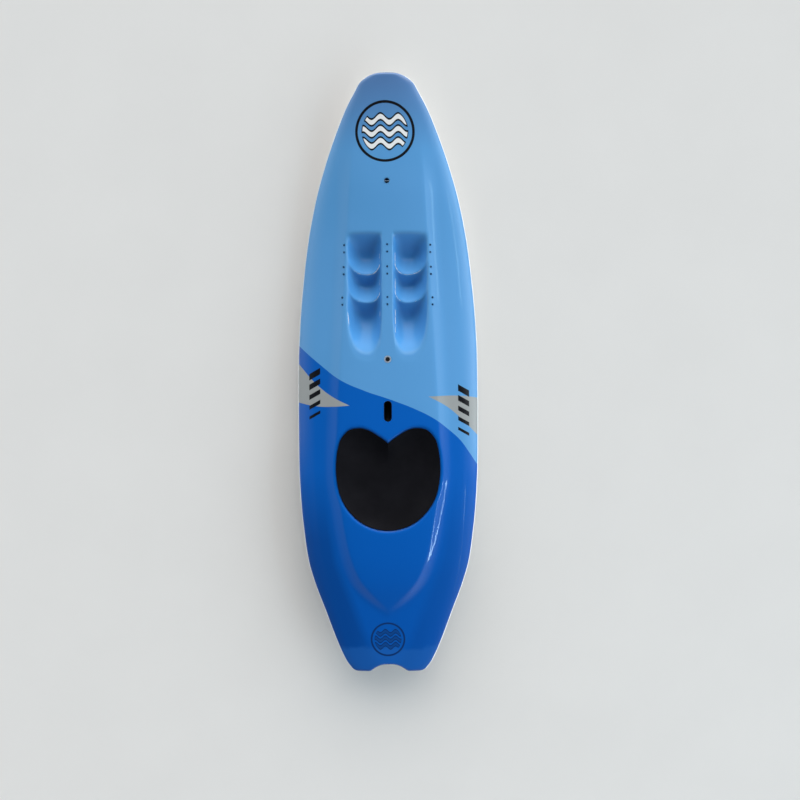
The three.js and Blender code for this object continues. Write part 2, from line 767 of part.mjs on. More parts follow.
const sideBoxRoom = (side) => onHull(boxOutline(sideSlotLength, sideSlotWidth, sideSlotDepth, seamGap),
  sideFinMiddle, side);

const centreSlotLength = finTabLength + 2 * centreFinTravel + tongueLength + 2 * seamGap;
const centreTab = plateDrop + plateThickness + seamGap;
const centreSlotDepth = centreTab + seamGap;
const centreFrame = (solid) => solid
  .rotate([0, -THREE.MathUtils.radToDeg(slopeAt(centreFinMiddle)), 0])
  .translate([centreFinMiddle, 0, hullHeight(centreFinMiddle, 0)]);

const tongueMiddle = finTabLength / 2 + tongueLength / 2;

function centreFinBox(body) {
  const slot = block(centreSlotLength, sideSlotWidth, 2 * centreSlotDepth)
    .translate([tongueLength / 2, 0, 0]);
  const groove = block(centreSlotLength, plateWidth + 2 * seamGap, plateThickness + 2 * seamGap)
    .translate([tongueLength / 2, 0, plateDrop + plateThickness / 2]);
  const box = centreBoxOutline(0);
  return centreFrame(cutBy(box, [slot, groove])).intersect(body);
}

function centreBoxOutline(clearance) {
  return boxOutline(centreSlotLength, plateWidth, centreSlotDepth, clearance)
    .translate([tongueLength / 2, 0, 0]);
}

const centreBoxRoom = () => centreFrame(centreBoxOutline(seamGap));

const tongueTop = plateDrop - seamGap * 2;

function centreFin() {
  const tongue = block(tongueLength + overrun, finTabThickness, tongueThickness)
    .translate([tongueMiddle - overrun / 2, 0, tongueTop - tongueThickness / 2]);
  const hole = rod(finScrewRadius + seamGap, 0, centreTab + overrun, screwSegments);
  const fin = finWithTab(finTabThickness, centreTab - seamGap).add(tongue);
  return centreFrame(fin.subtract(hole.translate([tongueMiddle, 0, 0])));
}

function finScrew() {
  const headTop = tongueTop - tongueThickness - seamGap;
  const profile = [
    [0, headTop - finScrewHeadHeight], [finScrewHead - seamGap, headTop - finScrewHeadHeight],
    [finScrewHead - seamGap, headTop], [finScrewRadius, headTop],
    [finScrewRadius, plateDrop + plateThickness], [0, plateDrop + plateThickness],
  ];
  return centreFrame(turned(profile, screwSegments).translate([tongueMiddle, 0, 0]));
}

function finPlate() {
  const plate = block(plateLength, plateWidth, plateThickness);
  const hole = rod(finScrewRadius + seamGap, -plateThickness, plateThickness, screwSegments);
  return centreFrame(plate.subtract(hole).translate([tongueMiddle, 0, plateDrop + plateThickness / 2]));
}

// Assembly of the ski
const sides = [['port', 1], ['starboard', -1]];
const wholeBody = skiBody(0);
const insideSkin = skiBody(skinThickness);
const coreBody = skiBody(skinThickness + seamGap);
const places = insertPlaces();
const fittingRooms = [
  ...places.map(([x, y]) => insertAt(x, y, seamGap)),
  handleRoom(), leashRoom(), ventRoom(seamGap),
];
const boxRooms = [...sides.map(([, side]) => sideBoxRoom(side)), centreBoxRoom()];

function hollows(inset) {
  return [footWells(1, inset), footWells(-1, inset), seatBucket(inset)];
}

function deckShell() {
  const upper = railSide(true);
  const skin = wholeBody.subtract(insideSkin).intersect(upper);
  const around = hollows(skinThickness).reduce((all, one) => all.add(one));
  const lining = around.intersect(wholeBody).intersect(upper);
  return cutBy(skin.add(lining), [...hollows(0), ...fittingRooms]);
}

function hullShell() {
  return cutBy(wholeBody.subtract(insideSkin).intersect(railSide(false)), boxRooms);
}

const hollowed = cutBy(coreBody, [...hollows(skinThickness + seamGap), ...fittingRooms, ...boxRooms]);

function foamHalf(side) {
  const half = block(skiLength + 2 * overrun, skiWidth, lidHeight * 2)
    .translate([skiLength / 2, side * (skiWidth / 2 + stringerThickness / 2 + seamGap), 0]);
  return hollowed.intersect(half);
}

function stringer() {
  const slab = block(skiLength + 2 * overrun, stringerThickness, lidHeight * 2);
  return hollowed.intersect(slab.translate([skiLength / 2, 0, 0]));
}

const ski = new THREE.Group();

function addPiece(name, solid, color, roughness, metalness = 0) {
  const material = new THREE.MeshStandardMaterial({ color, roughness, metalness });
  const mesh = new THREE.Mesh(geometryOf(solid), material);
  mesh.name = name;
  ski.add(mesh);
  return mesh;
}

addPiece('deck_shell', deckShell(), lightBlue, 0.12);
addPiece('hull_shell', hullShell(), white, 0.15);
sides.forEach(([name, side]) => addPiece(`foam_core_${name}`, foamHalf(side), foamWhite, 0.9));
addPiece('stringer', stringer(), plywood, 0.7);
addPiece('seat_pad', seatPad(), padBlack, 0.85);
addPiece('handle_cup', handleCup(), moldedBlack, 0.5);
places.forEach(([x, y], index) => {
  const number = String(index + 1).padStart(2, '0');
  addPiece(`strap_insert_${number}`, insertAt(x, y, 0), insertBlack, 0.45);
});
addPiece('leash_plug', leashPlug(), moldedBlack, 0.45);
addPiece('leash_pin', leashPinAt(0, 2 * leashRadius - leashWall), steelGrey, 0.25, 1);
addPiece('vent_socket', ventSocket(), steelGrey, 0.3, 1);
addPiece('vent_plug', ventPlug(), moldedBlack, 0.4);
addPiece('vent_o_ring', ventRing(), moldedBlack, 0.7);
sides.forEach(([name, side]) => {
  addPiece(`${name}_fin_box`, sideFinBox(wholeBody, side), moldedBlack, 0.45);
  const fin = finWithTab(finTabThickness, finTabDepth);
  addPiece(`${name}_fin`, onHull(fin, sideFinMiddle, side), finGrey, 0.3);
  grubPlaces.forEach((x, index) => {
    const screw = onHull(grubScrew().translate([x, side * grubOffset, 0]), sideFinMiddle, side);
    addPiece(`${name}_grub_screw_${index + 1}`, screw, steelGrey, 0.3, 1);
  });
});
addPiece('centre_fin_box', centreFinBox(wholeBody), moldedBlack, 0.45);
addPiece('centre_fin', centreFin(), finGrey, 0.3);
addPiece('fin_screw', finScrew(), steelGrey, 0.3, 1);
addPiece('fin_plate', finPlate(), steelGrey, 0.3, 1);

// At rest the ski lies nose-down on its side fins and the belly of the hull
const pitchSteps = 40;

function lowestOf(geometry, angle) {
  const corners = geometry.getAttribute('position');
  let lowest = Infinity;
  for (let i = 0; i < corners.count; i += 1) {
    lowest = Math.min(lowest, corners.getZ(i) * Math.cos(angle) - corners.getX(i) * Math.sin(angle));
  }
  return lowest;
}

function restPitch() {
  const hull = ski.getObjectByName('hull_shell').geometry;
  const fin = ski.getObjectByName('port_fin').geometry;
  let level = 0;
  let steep = Math.PI / 8;
  for (let step = 0; step < pitchSteps; step += 1) {
    const angle = (level + steep) / 2;
    if (lowestOf(hull, angle) > lowestOf(fin, angle)) level = angle;
    else steep = angle;
  }
  return level;
}

ski.rotation.y = restPitch();
const restingSki = new THREE.Group();
restingSki.add(ski);
restingSki.updateMatrixWorld(true);
const reach = new THREE.Box3().setFromObject(restingSki, true);
ski.position.set(-(reach.min.x + reach.max.x) / 2, 0, -reach.min.z);

export default restingSki;
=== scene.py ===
import json
import math

import bmesh
import bpy
import numpy as np
from mathutils import Matrix, Vector


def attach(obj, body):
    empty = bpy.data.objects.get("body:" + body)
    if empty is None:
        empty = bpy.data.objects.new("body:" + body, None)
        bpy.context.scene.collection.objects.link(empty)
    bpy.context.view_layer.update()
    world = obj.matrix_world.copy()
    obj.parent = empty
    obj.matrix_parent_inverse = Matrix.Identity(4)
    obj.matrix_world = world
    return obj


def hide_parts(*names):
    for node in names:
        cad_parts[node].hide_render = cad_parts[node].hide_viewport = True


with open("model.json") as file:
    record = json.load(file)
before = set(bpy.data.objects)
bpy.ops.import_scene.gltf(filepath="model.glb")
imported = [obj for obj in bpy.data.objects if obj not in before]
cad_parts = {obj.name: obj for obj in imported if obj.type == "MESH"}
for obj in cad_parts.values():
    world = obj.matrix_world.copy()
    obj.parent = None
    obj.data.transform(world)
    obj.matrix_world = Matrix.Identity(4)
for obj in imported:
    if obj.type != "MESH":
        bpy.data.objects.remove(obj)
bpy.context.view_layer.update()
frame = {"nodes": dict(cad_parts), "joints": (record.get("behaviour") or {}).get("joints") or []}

# The ski at rest. It lies on its two side fins and the belly of the hull, nose down, and every piece
# below is made on the level with X from the tail to the nose, then laid down with it. The vent's axis
# stands square to the deck, so it gives the lie of the ski.
vent_middle, vent_seat_height = 1.223, 0.150
vent_axis = next(joint for joint in frame["joints"] if joint["name"] == "vent_screw")
lean = math.atan2(vent_axis["axis"][0], vent_axis["axis"][2])
lie = Matrix.Rotation(lean, 4, "Y")
lie.translation = Vector(vent_axis["pos_m"]) - lie @ Vector((vent_middle, 0, vent_seat_height))

shared_collection = bpy.context.scene.collection


def laid_down(name, mesh):
    mesh.transform(lie)
    piece = bpy.data.objects.new(name, mesh)
    shared_collection.objects.link(piece)
    return piece


def lay_on_ski(name, mesh, body="ski"):
    piece = laid_down(name, mesh)
    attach(piece, body)
    return piece


# Camera. It stands where the photograph was taken from: 2.8 m above the deck and square to it, a
# little to the rider's right of the middle line, with the nose up in the picture.
camera_height = 2.822
camera_foot = (1.067, -0.0467)
camera_roll = 0.0042
camera_reach = 60
focal_share = 0.875
sensor_mm = 36

camera_data = bpy.data.cameras.new("photo_camera")
camera_data.sensor_width = sensor_mm
camera_data.sensor_fit = "HORIZONTAL"
camera_data.lens = focal_share * sensor_mm
camera_data.clip_end = camera_reach
camera = bpy.data.objects.new("photo_camera", camera_data)
shared_collection.objects.link(camera)
turn = Matrix((
    (-math.sin(camera_roll), math.cos(camera_roll), 0),
    (-math.cos(camera_roll), -math.sin(camera_roll), 0),
    (0, 0, 1),
)).to_4x4()
turn.translation = Vector((*camera_foot, camera_height))
camera.matrix_world = lie @ turn
bpy.context.scene.camera = camera

# Deck moulding. One sheet of glass cloth and resin, laid up in a female mould, so that the raised
# middle, the six stepped foot wells and the seat bucket are all one skin. It is drawn as a fine sheet
# over the same lines as the solid model, then given its 3.5 mm of thickness.
ski_length = 2.300
half_beam = 0.3549
foam_depth = 0.130
nose_lift, nose_lift_from, nose_lift_power = 0.1649, 1.250, 2.2
tail_lift, tail_lift_from, tail_lift_power = 0.045, 0.950, 1.9
end_radius = 0.014
nose_round_length, nose_round_share = 0.044, 0.8
notch_depth, notch_half_width, notch_fade, notch_roundness = 0.027, 0.080, 0.16, 3
raised_height, raised_edge, raised_edge_power = 0.013, 0.056, 1.6
ridge_softness, ridge_overrun = 0.10, 1.4
deck_roundness = 2.3
skin_thickness = 0.0035
seam = 0.00015

beam_shares = [
    (0, 0.39), (0.018, 0.478), (0.052, 0.58), (0.103, 0.704), (0.155, 0.83), (0.189, 0.893),
    (0.223, 0.929), (0.292, 0.976), (0.361, 0.997), (0.45, 1), (0.533, 0.996), (0.601, 0.976),
    (0.67, 0.934), (0.737, 0.875), (0.803, 0.784), (0.852, 0.689), (0.899, 0.577), (0.945, 0.446),
    (0.975, 0.334), (1, 0.24)]
depth_shares = [
    (0, 0.3), (0.05, 0.43), (0.12, 0.62), (0.2, 0.83), (0.3, 0.96), (0.42, 1), (0.56, 1),
    (0.68, 0.96), (0.78, 0.85), (0.88, 0.66), (0.95, 0.47), (1, 0.3)]
rail_shares = [
    (0, 0.12), (0.05, 0.2), (0.15, 0.32), (0.35, 0.41), (0.5, 0.42), (0.7, 0.39), (0.85, 0.3),
    (0.95, 0.2), (1, 0.14)]
raised_width_shares = [
    (0.1, 0.02), (0.135, 0.26), (0.165, 0.4), (0.213, 0.51), (0.263, 0.57), (0.348, 0.64),
    (0.45, 0.62), (0.56, 0.58), (0.71, 0.52), (0.857, 0.46), (1, 0.3)]
raised_height_shares = [(0.09, 0), (0.16, 1), (0.35, 1.1), (0.8, 1), (0.93, 0), (1, 0)]

well_middle, well_half_width, well_front = 0.088, 0.066, 1.705
well_lips = [1.551, 1.444, 1.224]
well_bows = [0.085, 0.085, 0.150]
well_depths = [0.070, 0.073, 0.076]
lip_depths = [0.030, 0.030, 0.0]
wall_shares = [0.55, 0.38, 0.27]
lip_roundness, lip_shift = 2.4, 0.2
inner_steepness, outer_steepness = 4.5, 2.4
wall_roundness, floor_rise = 1.7, 1.25
well_overreach, slope_outside = 1.4, 0.05
well_edge_drop, well_edge_round = 0.0015, 0.0035

seat_middle, seat_half_width, seat_depth, seat_rim = 0.760, 0.200, 0.046, 0.009
seat_edge_drop, seat_edge_round = 0.0012, 0.0022
bowl_power = 3.6
edge_fade = 6
seat_outline_shares = [
    (0, 0.7), (12, 0.855), (20, 1), (29, 1.14), (40, 1.22), (49, 1.2), (60, 1.125), (75, 1.04),
    (94, 0.985), (115, 0.97), (134, 0.965), (150, 0.97), (165, 0.97), (180, 0.97)]


def faired(table, at):
    """A batten sprung through the stations of a table, without humps between them."""
    places, values = (np.array(row, float) for row in zip(*table))
    slopes = np.diff(values) / np.diff(places)
    before, after = slopes[:-1], slopes[1:]
    together = before * after > 0
    total = np.where(together, before + after, 1)
    inner = np.where(together, 2 * before * after / total, 0)
    lean_at = np.concatenate(([slopes[0]], inner, [slopes[-1]]))
    at = np.clip(np.asarray(at, float), places[0], places[-1])
    k = np.clip(np.searchsorted(places, at, side="right") - 1, 0, len(slopes) - 1)
    span = places[k + 1] - places[k]
    t = (at - places[k]) / span
    ease = t * t * (3 - 2 * t)
    swing = t * (1 - t) * (lean_at[k] * (1 - t) - lean_at[k + 1] * t) * span
    return values[k] + ease * (values[k + 1] - values[k]) + swing


def eased(value):
    t = np.clip(value, 0, 1)
    return t * t * (3 - 2 * t)


def keel(x):
    to_nose = np.maximum(x - nose_lift_from, 0) / (ski_length - nose_lift_from)
    to_tail = np.maximum(tail_lift_from - x, 0) / tail_lift_from
    return nose_lift * to_nose ** nose_lift_power + tail_lift * to_tail ** tail_lift_power


def rail_line(x):
    return keel(x) + foam_depth * faired(rail_shares, x / ski_length)


def half_width(x):
    wide = half_beam * faired(beam_shares, x / ski_length)
    into = np.clip((x - (ski_length - nose_round_length)) / nose_round_length, 0, 1)
    return wide * np.sqrt(1 - nose_round_share * into ** 2)


def plain_deck(x, y):
    """Height of the deck's top as it would be without wells and seat."""
    share = x / ski_length
    across = np.minimum(1, np.abs(y) / half_width(x))
    crown = (1 - across ** deck_roundness) ** (1 / deck_roundness)
    top = keel(x) + foam_depth * faired(depth_shares, share)
    edge = half_beam * faired(raised_width_shares, share) + raised_edge / 2
    slope = np.clip((edge - np.abs(y)) / raised_edge, 0, ridge_overrun)
    ridge = (slope + 1 - np.sqrt((slope - 1) ** 2 + ridge_softness ** 2)) / 2
    lift = raised_height * faired(raised_height_shares, share)
    rise = lift * np.maximum(ridge, 0) ** raised_edge_power
    return rail_line(x) + (top - rail_line(x) + rise) * crown


def into_well(x, y):
    """How far the wells go down at a place; below nothing outside them."""
    across = np.clip((np.abs(y) - well_middle) / well_half_width, -well_overreach, well_overreach)
    shifted = across + lip_shift
    reach = np.minimum(np.abs(shifted) / (1 + np.sign(shifted) * lip_shift), 1)
    bow = 1 - (1 - reach ** lip_roundness) ** (1 / lip_roundness)
    side = 1 - np.abs(across) ** np.where(across < 0, inner_steepness, outer_steepness)
    edges = [np.full_like(x, well_front)]
    edges += [lip + deepest_bow * bow for lip, deepest_bow in zip(well_lips, well_bows)]
    down = well_front - x
    for k, deepest in enumerate(well_depths):
        start = 0 if k == 0 else lip_depths[k - 1]
        along = (x - edges[k]) / (edges[k + 1] - edges[k])
        wall = np.minimum(along / wall_shares[k], 1)
        falling = start + (deepest - start) * (1 - np.maximum(1 - wall, 0) ** wall_roundness)
        climb = np.clip((along - wall_shares[k]) / (1 - wall_shares[k]), 0, 1)
        rise = climb ** floor_rise if lip_depths[k] > 0 else eased(climb)
        rising = deepest + (lip_depths[k] - deepest) * rise
        here = (along >= 0) & (along <= 1)
        down = np.where(here, np.where(along < wall_shares[k], falling, rising), down)
    past = edges[-1] - x
    down = np.where(past > 0, -past, down)
    inside = (side > 0) & (down > 0)
    return np.where(inside, side * down, np.minimum(down, side * slope_outside))


def seat_reach(degrees):
    """From the middle of the seat to its outline, by the heading off the bow."""
    return seat_half_width * faired(seat_outline_shares, degrees)


def into_seat(x, y):
    degrees = np.degrees(np.arctan2(np.abs(y), x - seat_middle))
    share = np.hypot(x - seat_middle, y) / (seat_reach(degrees) + seat_rim)
    return seat_depth * (1 - share ** bowl_power)


def softened(depth, edge):
    """Turns the sharp edge of a hollow into a small round one."""
    return (depth + np.sqrt(depth ** 2 + edge ** 2)) / 2 * eased(1 + depth / (edge_fade * edge))


def hollow_depth(x, y):
    wells = softened(into_well(x, y) - well_edge_drop, well_edge_round)
    seat = softened(into_seat(x, y) - seat_edge_drop, seat_edge_round)
    return wells, seat


def deck_heights(x, y):
    wells, seat = hollow_depth(x, y)
    return plain_deck(x, y) - wells - seat


def deck_at(x, y):
    return float(plain_deck(np.array([x]), np.array([y]))[0])


def spaced(*runs):
    """Stations from pairs of an end and a step."""
    places = [runs[0][0]]
    for (start, _), (end, step) in zip(runs, runs[1:]):
        count = max(1, round(abs(end - start) / step))
        places.extend(start + (end - start) * (k + 1) / count for k in range(count))
    return np.array(places)


end_station_count, rail_column_count = 9, 20
widest_fixed_share = 0.7
round_turns = np.linspace(math.pi / 2, 0, end_station_count)
end_stations = end_radius * (1 - np.sin(round_turns))
middle_stations = spaced((end_radius, 0), (0.06, 0.004), (0.54, 0.012), (0.99, 0.006), (1.19, 0.009),
                         (1.73, 0.0034), (2.2, 0.012), (ski_length - end_radius, 0.006))
stations = np.concatenate((end_stations, middle_stations[1:], ski_length - end_stations[::-1][1:]))
well_columns = spaced((0, 0), (0.018, 0.003), (0.03, 0.0013), (0.13, 0.0042), (0.160, 0.0026),
                      (0.218, 0.0029))
rail_columns = 1 - (1 - np.linspace(0, 1, rail_column_count)[1:]) ** 2


def station_columns(x):
    """Half of the columns of one station: even over the wells and seat, crowding towards the rail."""
    half = half_width(x)
    fixed = min(well_columns[-1], widest_fixed_share * half)
    inner = well_columns * fixed / well_columns[-1]
    return np.concatenate((inner, fixed + (half - fixed) * rail_columns))


def end_rounding(x):
    """One at either end of the ski, nothing a corner's radius away from it."""
    near = np.minimum(x, ski_length - x) / end_radius
    return 1 - np.sqrt(np.maximum(0, 1 - np.maximum(0, 1 - near) ** 2))


def outline_half(x):
    return half_width(x) - end_rounding(x) * end_radius


def ski_sheet(height_at, side):
    """Rows of points over the ski, rail to rail, on the deck side or the hull side."""
    rows = []
    for x in stations:
        columns = station_columns(x)
        rounding = float(end_rounding(x))
        y = np.concatenate((-columns[:0:-1], columns))
        half = half_width(x)
        narrow = y * (half - rounding * end_radius) / half
        arch = np.maximum(0, 1 - (np.abs(narrow) / notch_half_width) ** notch_roundness) ** 2
        place = x + notch_depth * arch * max(0.0, 1 - x / notch_fade)
        rail = rail_line(place)
        height = rail + (height_at(place, y / half * half_width(place)) - rail) * (1 - rounding)
        rows.append(np.stack((place, narrow, height + side * seam), axis=1))
    return np.array(rows)


def sheet_mesh(name, grid, up=True):
    count, width = grid.shape[:2]
    index = np.arange(count * width).reshape(count, width)
    around = (index[:-1, :-1], index[1:, :-1], index[1:, 1:], index[:-1, 1:])
    quads = np.stack(around, axis=-1).reshape(-1, 4)
    if not up:
        quads = quads[:, ::-1]
    mesh = bpy.data.meshes.new(name)
    mesh.from_pydata(grid.reshape(-1, 3).tolist(), [], quads.tolist())
    mesh.update()
    return mesh


def thickened(piece):
    """Gives a skin its thickness on the side away from the paint."""
    thicken = piece.modifiers.new("laminate", "SOLIDIFY")
    thicken.thickness = skin_thickness
    thicken.offset = -1


def settled(piece):
    """Keeps what the modifiers have made as the piece's own mesh."""
    graph = bpy.context.evaluated_depsgraph_get()
    shape = bpy.data.meshes.new_from_object(piece.evaluated_get(graph))
    piece.modifiers.clear()
    piece.data = shape
    return shape


def smooth_shaded(mesh, crease=35):
    mesh.polygons.foreach_set("use_smooth", [True] * len(mesh.polygons))
    mesh.set_sharp_from_angle(angle=math.radians(crease))


def joined_rings(name, loops, round_again=False):
    """Skin over loops of points: closed at both ends, or from the last loop back to the first."""
    form = bmesh.new()
    rings = [[form.verts.new(point) for point in loop] for loop in loops]
    above_rings = rings[1:] + rings[:1] if round_again else rings[1:]
    for below, above in zip(rings, above_rings):
        for k in range(len(below)):
            after = (k + 1) % len(below)
            form.faces.new((below[k], below[after], above[after], above[k]))
    if not round_again:
        form.faces.new(rings[0][::-1])
        form.faces.new(rings[-1])
    bmesh.ops.recalc_face_normals(form, faces=form.faces)
    mesh = bpy.data.meshes.new(name)
    form.to_mesh(mesh)
    form.free()
    return mesh


def round_loop(radius, height, count, middle=(0, 0)):
    return [(middle[0] + radius * math.cos(2 * math.pi * k / count),
             middle[1] + radius * math.sin(2 * math.pi * k / count), height) for k in range(count)]


def slot_loop(length, width, height, count, middle=(0, 0)):
    """A straight slot with round ends."""
    straight, radius = (length - width) / 2, width / 2
    points = []
    for end in (1, -1):
        for k in range(count + 1):
            angle = math.pi * (k / count - 0.5) + (0 if end > 0 else math.pi)
            points.append((middle[0] + end * straight + radius * math.cos(angle),
                           middle[1] + radius * math.sin(angle), height))
    return points


def turned_mesh(name, profile, count, middle, height, bored=False):
    """A lathe-turned piece from pairs of radius and height; a bored one's profile closes on itself."""
    loops = [round_loop(radius, height + up, count, middle) for radius, up in profile]
    return joined_rings(name, loops, bored)


def merged(name, meshes):
    """One mesh of several, which are used up."""
    form = bmesh.new()
    for one in meshes:
        form.from_mesh(one)
        bpy.data.meshes.remove(one)
    mesh = bpy.data.meshes.new(name)
    form.to_mesh(mesh)
    form.free()
    return mesh


def drilled(piece, name, prisms, crease=35):
    """Cuts prisms, each given by its loops, out of a piece and keeps the shape."""
    cutter = laid_down(name, merged(name, [joined_rings(name, loops) for loops in prisms]))
    drill = piece.modifiers.new("holes", "BOOLEAN")
    drill.operation = "DIFFERENCE"
    drill.object = cutter
    drill.solver = "MANIFOLD"
    smooth_shaded(settled(piece), crease)
    bpy.data.objects.remove(cutter)


handle_middle, handle_length, handle_width = 1.024, 0.080, 0.030
vent_radius = 0.014
leash_middle, leash_radius = 1.899, 0.012
insert_rows = [1.647, 1.5635, 1.447]
insert_sides = [0.165, 0.167, 0.173]
insert_pair = 0.0275
insert_radius = 0.004
insert_places = [(row + end * insert_pair / 2, y)
                 for row, side in zip(insert_rows, insert_sides)
                 for y in (side, 0, -side) for end in (1, -1)]
fitting_gap = 0.0003
middle_cut, bow_cut, insert_cut = (0.08, 0.25), (0.1, 0.3), (-0.012, 0.02)

handle_hole = (handle_length + 2 * fitting_gap, handle_width + 2 * fitting_gap)
fitting_holes = [
    [slot_loop(*handle_hole, h, 12, (handle_middle, 0)) for h in middle_cut],
    [round_loop(vent_radius + fitting_gap, h, 40, (vent_middle, 0)) for h in middle_cut],
    [round_loop(leash_radius + fitting_gap, h, 36, (leash_middle, 0)) for h in bow_cut]]
for place in insert_places:
    level = deck_at(*place)
    fitting_holes.append([round_loop(insert_radius + fitting_gap, level + h, 20, place) for h in insert_cut])

# The crests between the wells are eased by a few rounds of smoothing over the sheet.
rubbing_strokes, rubbing_share = 5, 0.5
rubbed_from, rubbed_to, rubbed_half_width = 1.2, 1.72, 0.17
grid = ski_sheet(deck_heights, 1)
in_wells = ((grid[:, :, 0] > rubbed_from) & (grid[:, :, 0] < rubbed_to)
            & (np.abs(grid[:, :, 1]) < rubbed_half_width))
for _ in range(rubbing_strokes):
    z = grid[:, :, 2]
    around = (z[:-2, 1:-1] + z[2:, 1:-1] + z[1:-1, :-2] + z[1:-1, 2:]) / 4
    rubbed = (1 - rubbing_share) * z[1:-1, 1:-1] + rubbing_share * around
    z[1:-1, 1:-1] = np.where(in_wells[1:-1, 1:-1], rubbed, z[1:-1, 1:-1])

deck = lay_on_ski("deck_moulding", sheet_mesh("deck_moulding", grid))
thickened(deck)
drilled(deck, "fitting_holes", fitting_holes)

# Two numbers are left on every point of the deck for its finish: how far it lies from the rail, and
# how dull the coat is there, for it mirrors less in the wells and round the seat. The second number
# also lays painted shade into the light blue in those hollows.
slant_reach = 0.0005
well_dull_and_shade_from, well_dull_and_shade_over = 0.0015, 0.0055
seat_dull_and_shade_from, seat_dull_and_shade_over = 0.0004, 0.0008
corners = np.empty(3 * len(deck.data.vertices))
deck.data.vertices.foreach_get("co", corners)
turned, moved = np.array(lie.to_3x3()), np.array(lie.translation)
level_x, level_y, _ = ((corners.reshape(-1, 3) - moved) @ turned).T
slant = (outline_half(level_x + slant_reach) - outline_half(level_x - slant_reach)) / (2 * slant_reach)
beside = (outline_half(level_x) - np.abs(level_y)) / np.sqrt(1 + slant ** 2)
rail_gap = np.minimum(beside, ski_length - level_x)
well_depth, seat_dip = hollow_depth(level_x, level_y)
dullness_and_shade = np.maximum(np.clip((well_depth - well_dull_and_shade_from) / well_dull_and_shade_over, 0, 1),
                      np.clip((seat_dip - seat_dull_and_shade_from) / seat_dull_and_shade_over, 0, 1))
for name, values in (("rail_gap", rail_gap), ("dullness_and_shade", dullness_and_shade)):
    deck.data.attributes.new(name, "FLOAT", "POINT").data.foreach_set("value", values)
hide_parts("deck_shell")

# The deck's finish. Two blues, sprayed on either side of a long S, with a pale grey spear and black
# dashes at each rail, a round badge at either end and a white line along the rail, all under a clear
# coat that is duller in the hollows and along the dark rails. Light and shade are also painted into the
# blues: painted shade in the wells, round the seat, towards the tail and on the flanks, and painted
# reflections that make the nose greyer and the end of the tail paler.
light_blue, light_cloudy = (0.090, 0.300, 0.610, 1), (0.100, 0.313, 0.636, 1)
light_with_painted_nose_reflection, light_with_painted_hollow_shade = (0.084, 0.182, 0.400, 1), (0.074, 0.290, 0.640, 1)
dark_blue, dark_with_painted_tail_shade = (0.001, 0.100, 0.455, 1), (0.001, 0.084, 0.405, 1)
dark_with_painted_flank_shade, dark_with_painted_tail_reflection = (0.001, 0.050, 0.25, 1), (0.012, 0.105, 0.400, 1)
spear_grey = (0.305, 0.325, 0.33, 1)
ink_black = (0.004, 0.004, 0.006, 1)
badge_white = (0.80, 0.81, 0.82, 1)
badge_navy, badge_blue = (0.004, 0.030, 0.130, 1), (0.004, 0.055, 0.24, 1)
rail_white = (0.88, 0.92, 0.95, 1)
painted_nose_reflection_ramp, painted_tail_shade_ramp = (2.02, 2.27, 0, 0.9), (0.75, 0.15)
flank_shade_gap, flank_shade_run, flank_shade_sides = (0.135, 0.095), (0.80, 0.52), (-0.15, 0.15, 0.30, 0.75)
tail_reflection_run, tail_reflection_wander = (0.135, 0.115, 0, 0.6), 0.06
rail_stripe, dark_rail_gap, dark_rail_run = (0.0044, 0.0032), (0.066, 0.044), (0.95, 0.75)
dull_coat, rail_coat = 0.16, 0.12
paint_edge, curve_reach = 0.0006, 0.36
divide_span, spear_span = (0.78, 1.31), (0.9, 1.25)
divide = [
    (-0.36, 0.80), (-0.342, 0.824), (-0.312, 0.868), (-0.28, 0.911), (-0.231, 0.955), (-0.177, 0.995),
    (-0.102, 1.033), (-0.009, 1.069), (0.093, 1.104), (0.185, 1.146), (0.261, 1.204), (0.339, 1.272),
    (0.36, 1.292)]
spear_front, front_corners = [
    (-0.36, 1.074), (-0.277, 1.083), (-0.156, 1.080), (0, 1.040), (0.147, 1.046), (0.21, 1.078),
    (0.269, 1.122), (0.342, 1.201), (0.36, 1.222)], (2, 4)
spear_back, back_corners = [
    (-0.36, 0.919), (-0.318, 0.962), (-0.266, 1.011), (-0.225, 1.043), (-0.156, 1.080), (0, 1.090),
    (0.147, 1.046), (0.21, 1.042), (0.269, 1.043), (0.343, 1.057), (0.36, 1.062)], (4, 6)


def new_finish(name):
    """A fresh material, with its tree, its shader and the places on the ski that its patterns follow."""
    finish = bpy.data.materials.new(name)
    finish.use_nodes = True
    tree = finish.node_tree
    return finish, tree, tree.nodes["Principled BSDF"], places_of(tree)


def places_of(tree):
    """Places on the ski as if it stood level, with its tail at zero."""
    level = tree.nodes.new("ShaderNodeMapping")
    level.inputs["Rotation"].default_value = (0, -lean, 0)
    level.inputs["Location"].default_value = -(lie.to_3x3().transposed() @ lie.translation)
    tree.links.new(tree.nodes.new("ShaderNodeTexCoord").outputs["Object"], level.inputs["Vector"])
    return level.outputs["Vector"]


def parts_of(tree, vector):
    split = tree.nodes.new("ShaderNodeSeparateXYZ")
    tree.links.new(vector, split.inputs[0])
    return split.outputs


def worked(tree, operation, first, second=None):
    node = tree.nodes.new("ShaderNodeMath")
    node.operation = operation
    for socket, value in zip(node.inputs, (first, second)):
        if value is None:
            continue
        if isinstance(value, (int, float)):
            socket.default_value = value
        else:
            tree.links.new(value, socket)
    return node.outputs[0]


def times(tree, first, second):
    return worked(tree, "MULTIPLY", first, second)


def less(tree, first, second):
    return worked(tree, "SUBTRACT", first, second)


def apart(tree, first, second):
    return worked(tree, "ABSOLUTE", less(tree, first, second))


def ramped(tree, value, low, high, to_low=0.0, to_high=1.0):
    node = tree.nodes.new("ShaderNodeMapRange")
    tree.links.new(value, node.inputs["Value"])
    for name, number in (("From Min", low), ("From Max", high), ("To Min", to_low), ("To Max", to_high)):
        node.inputs[name].default_value = number
    return node.outputs["Result"]


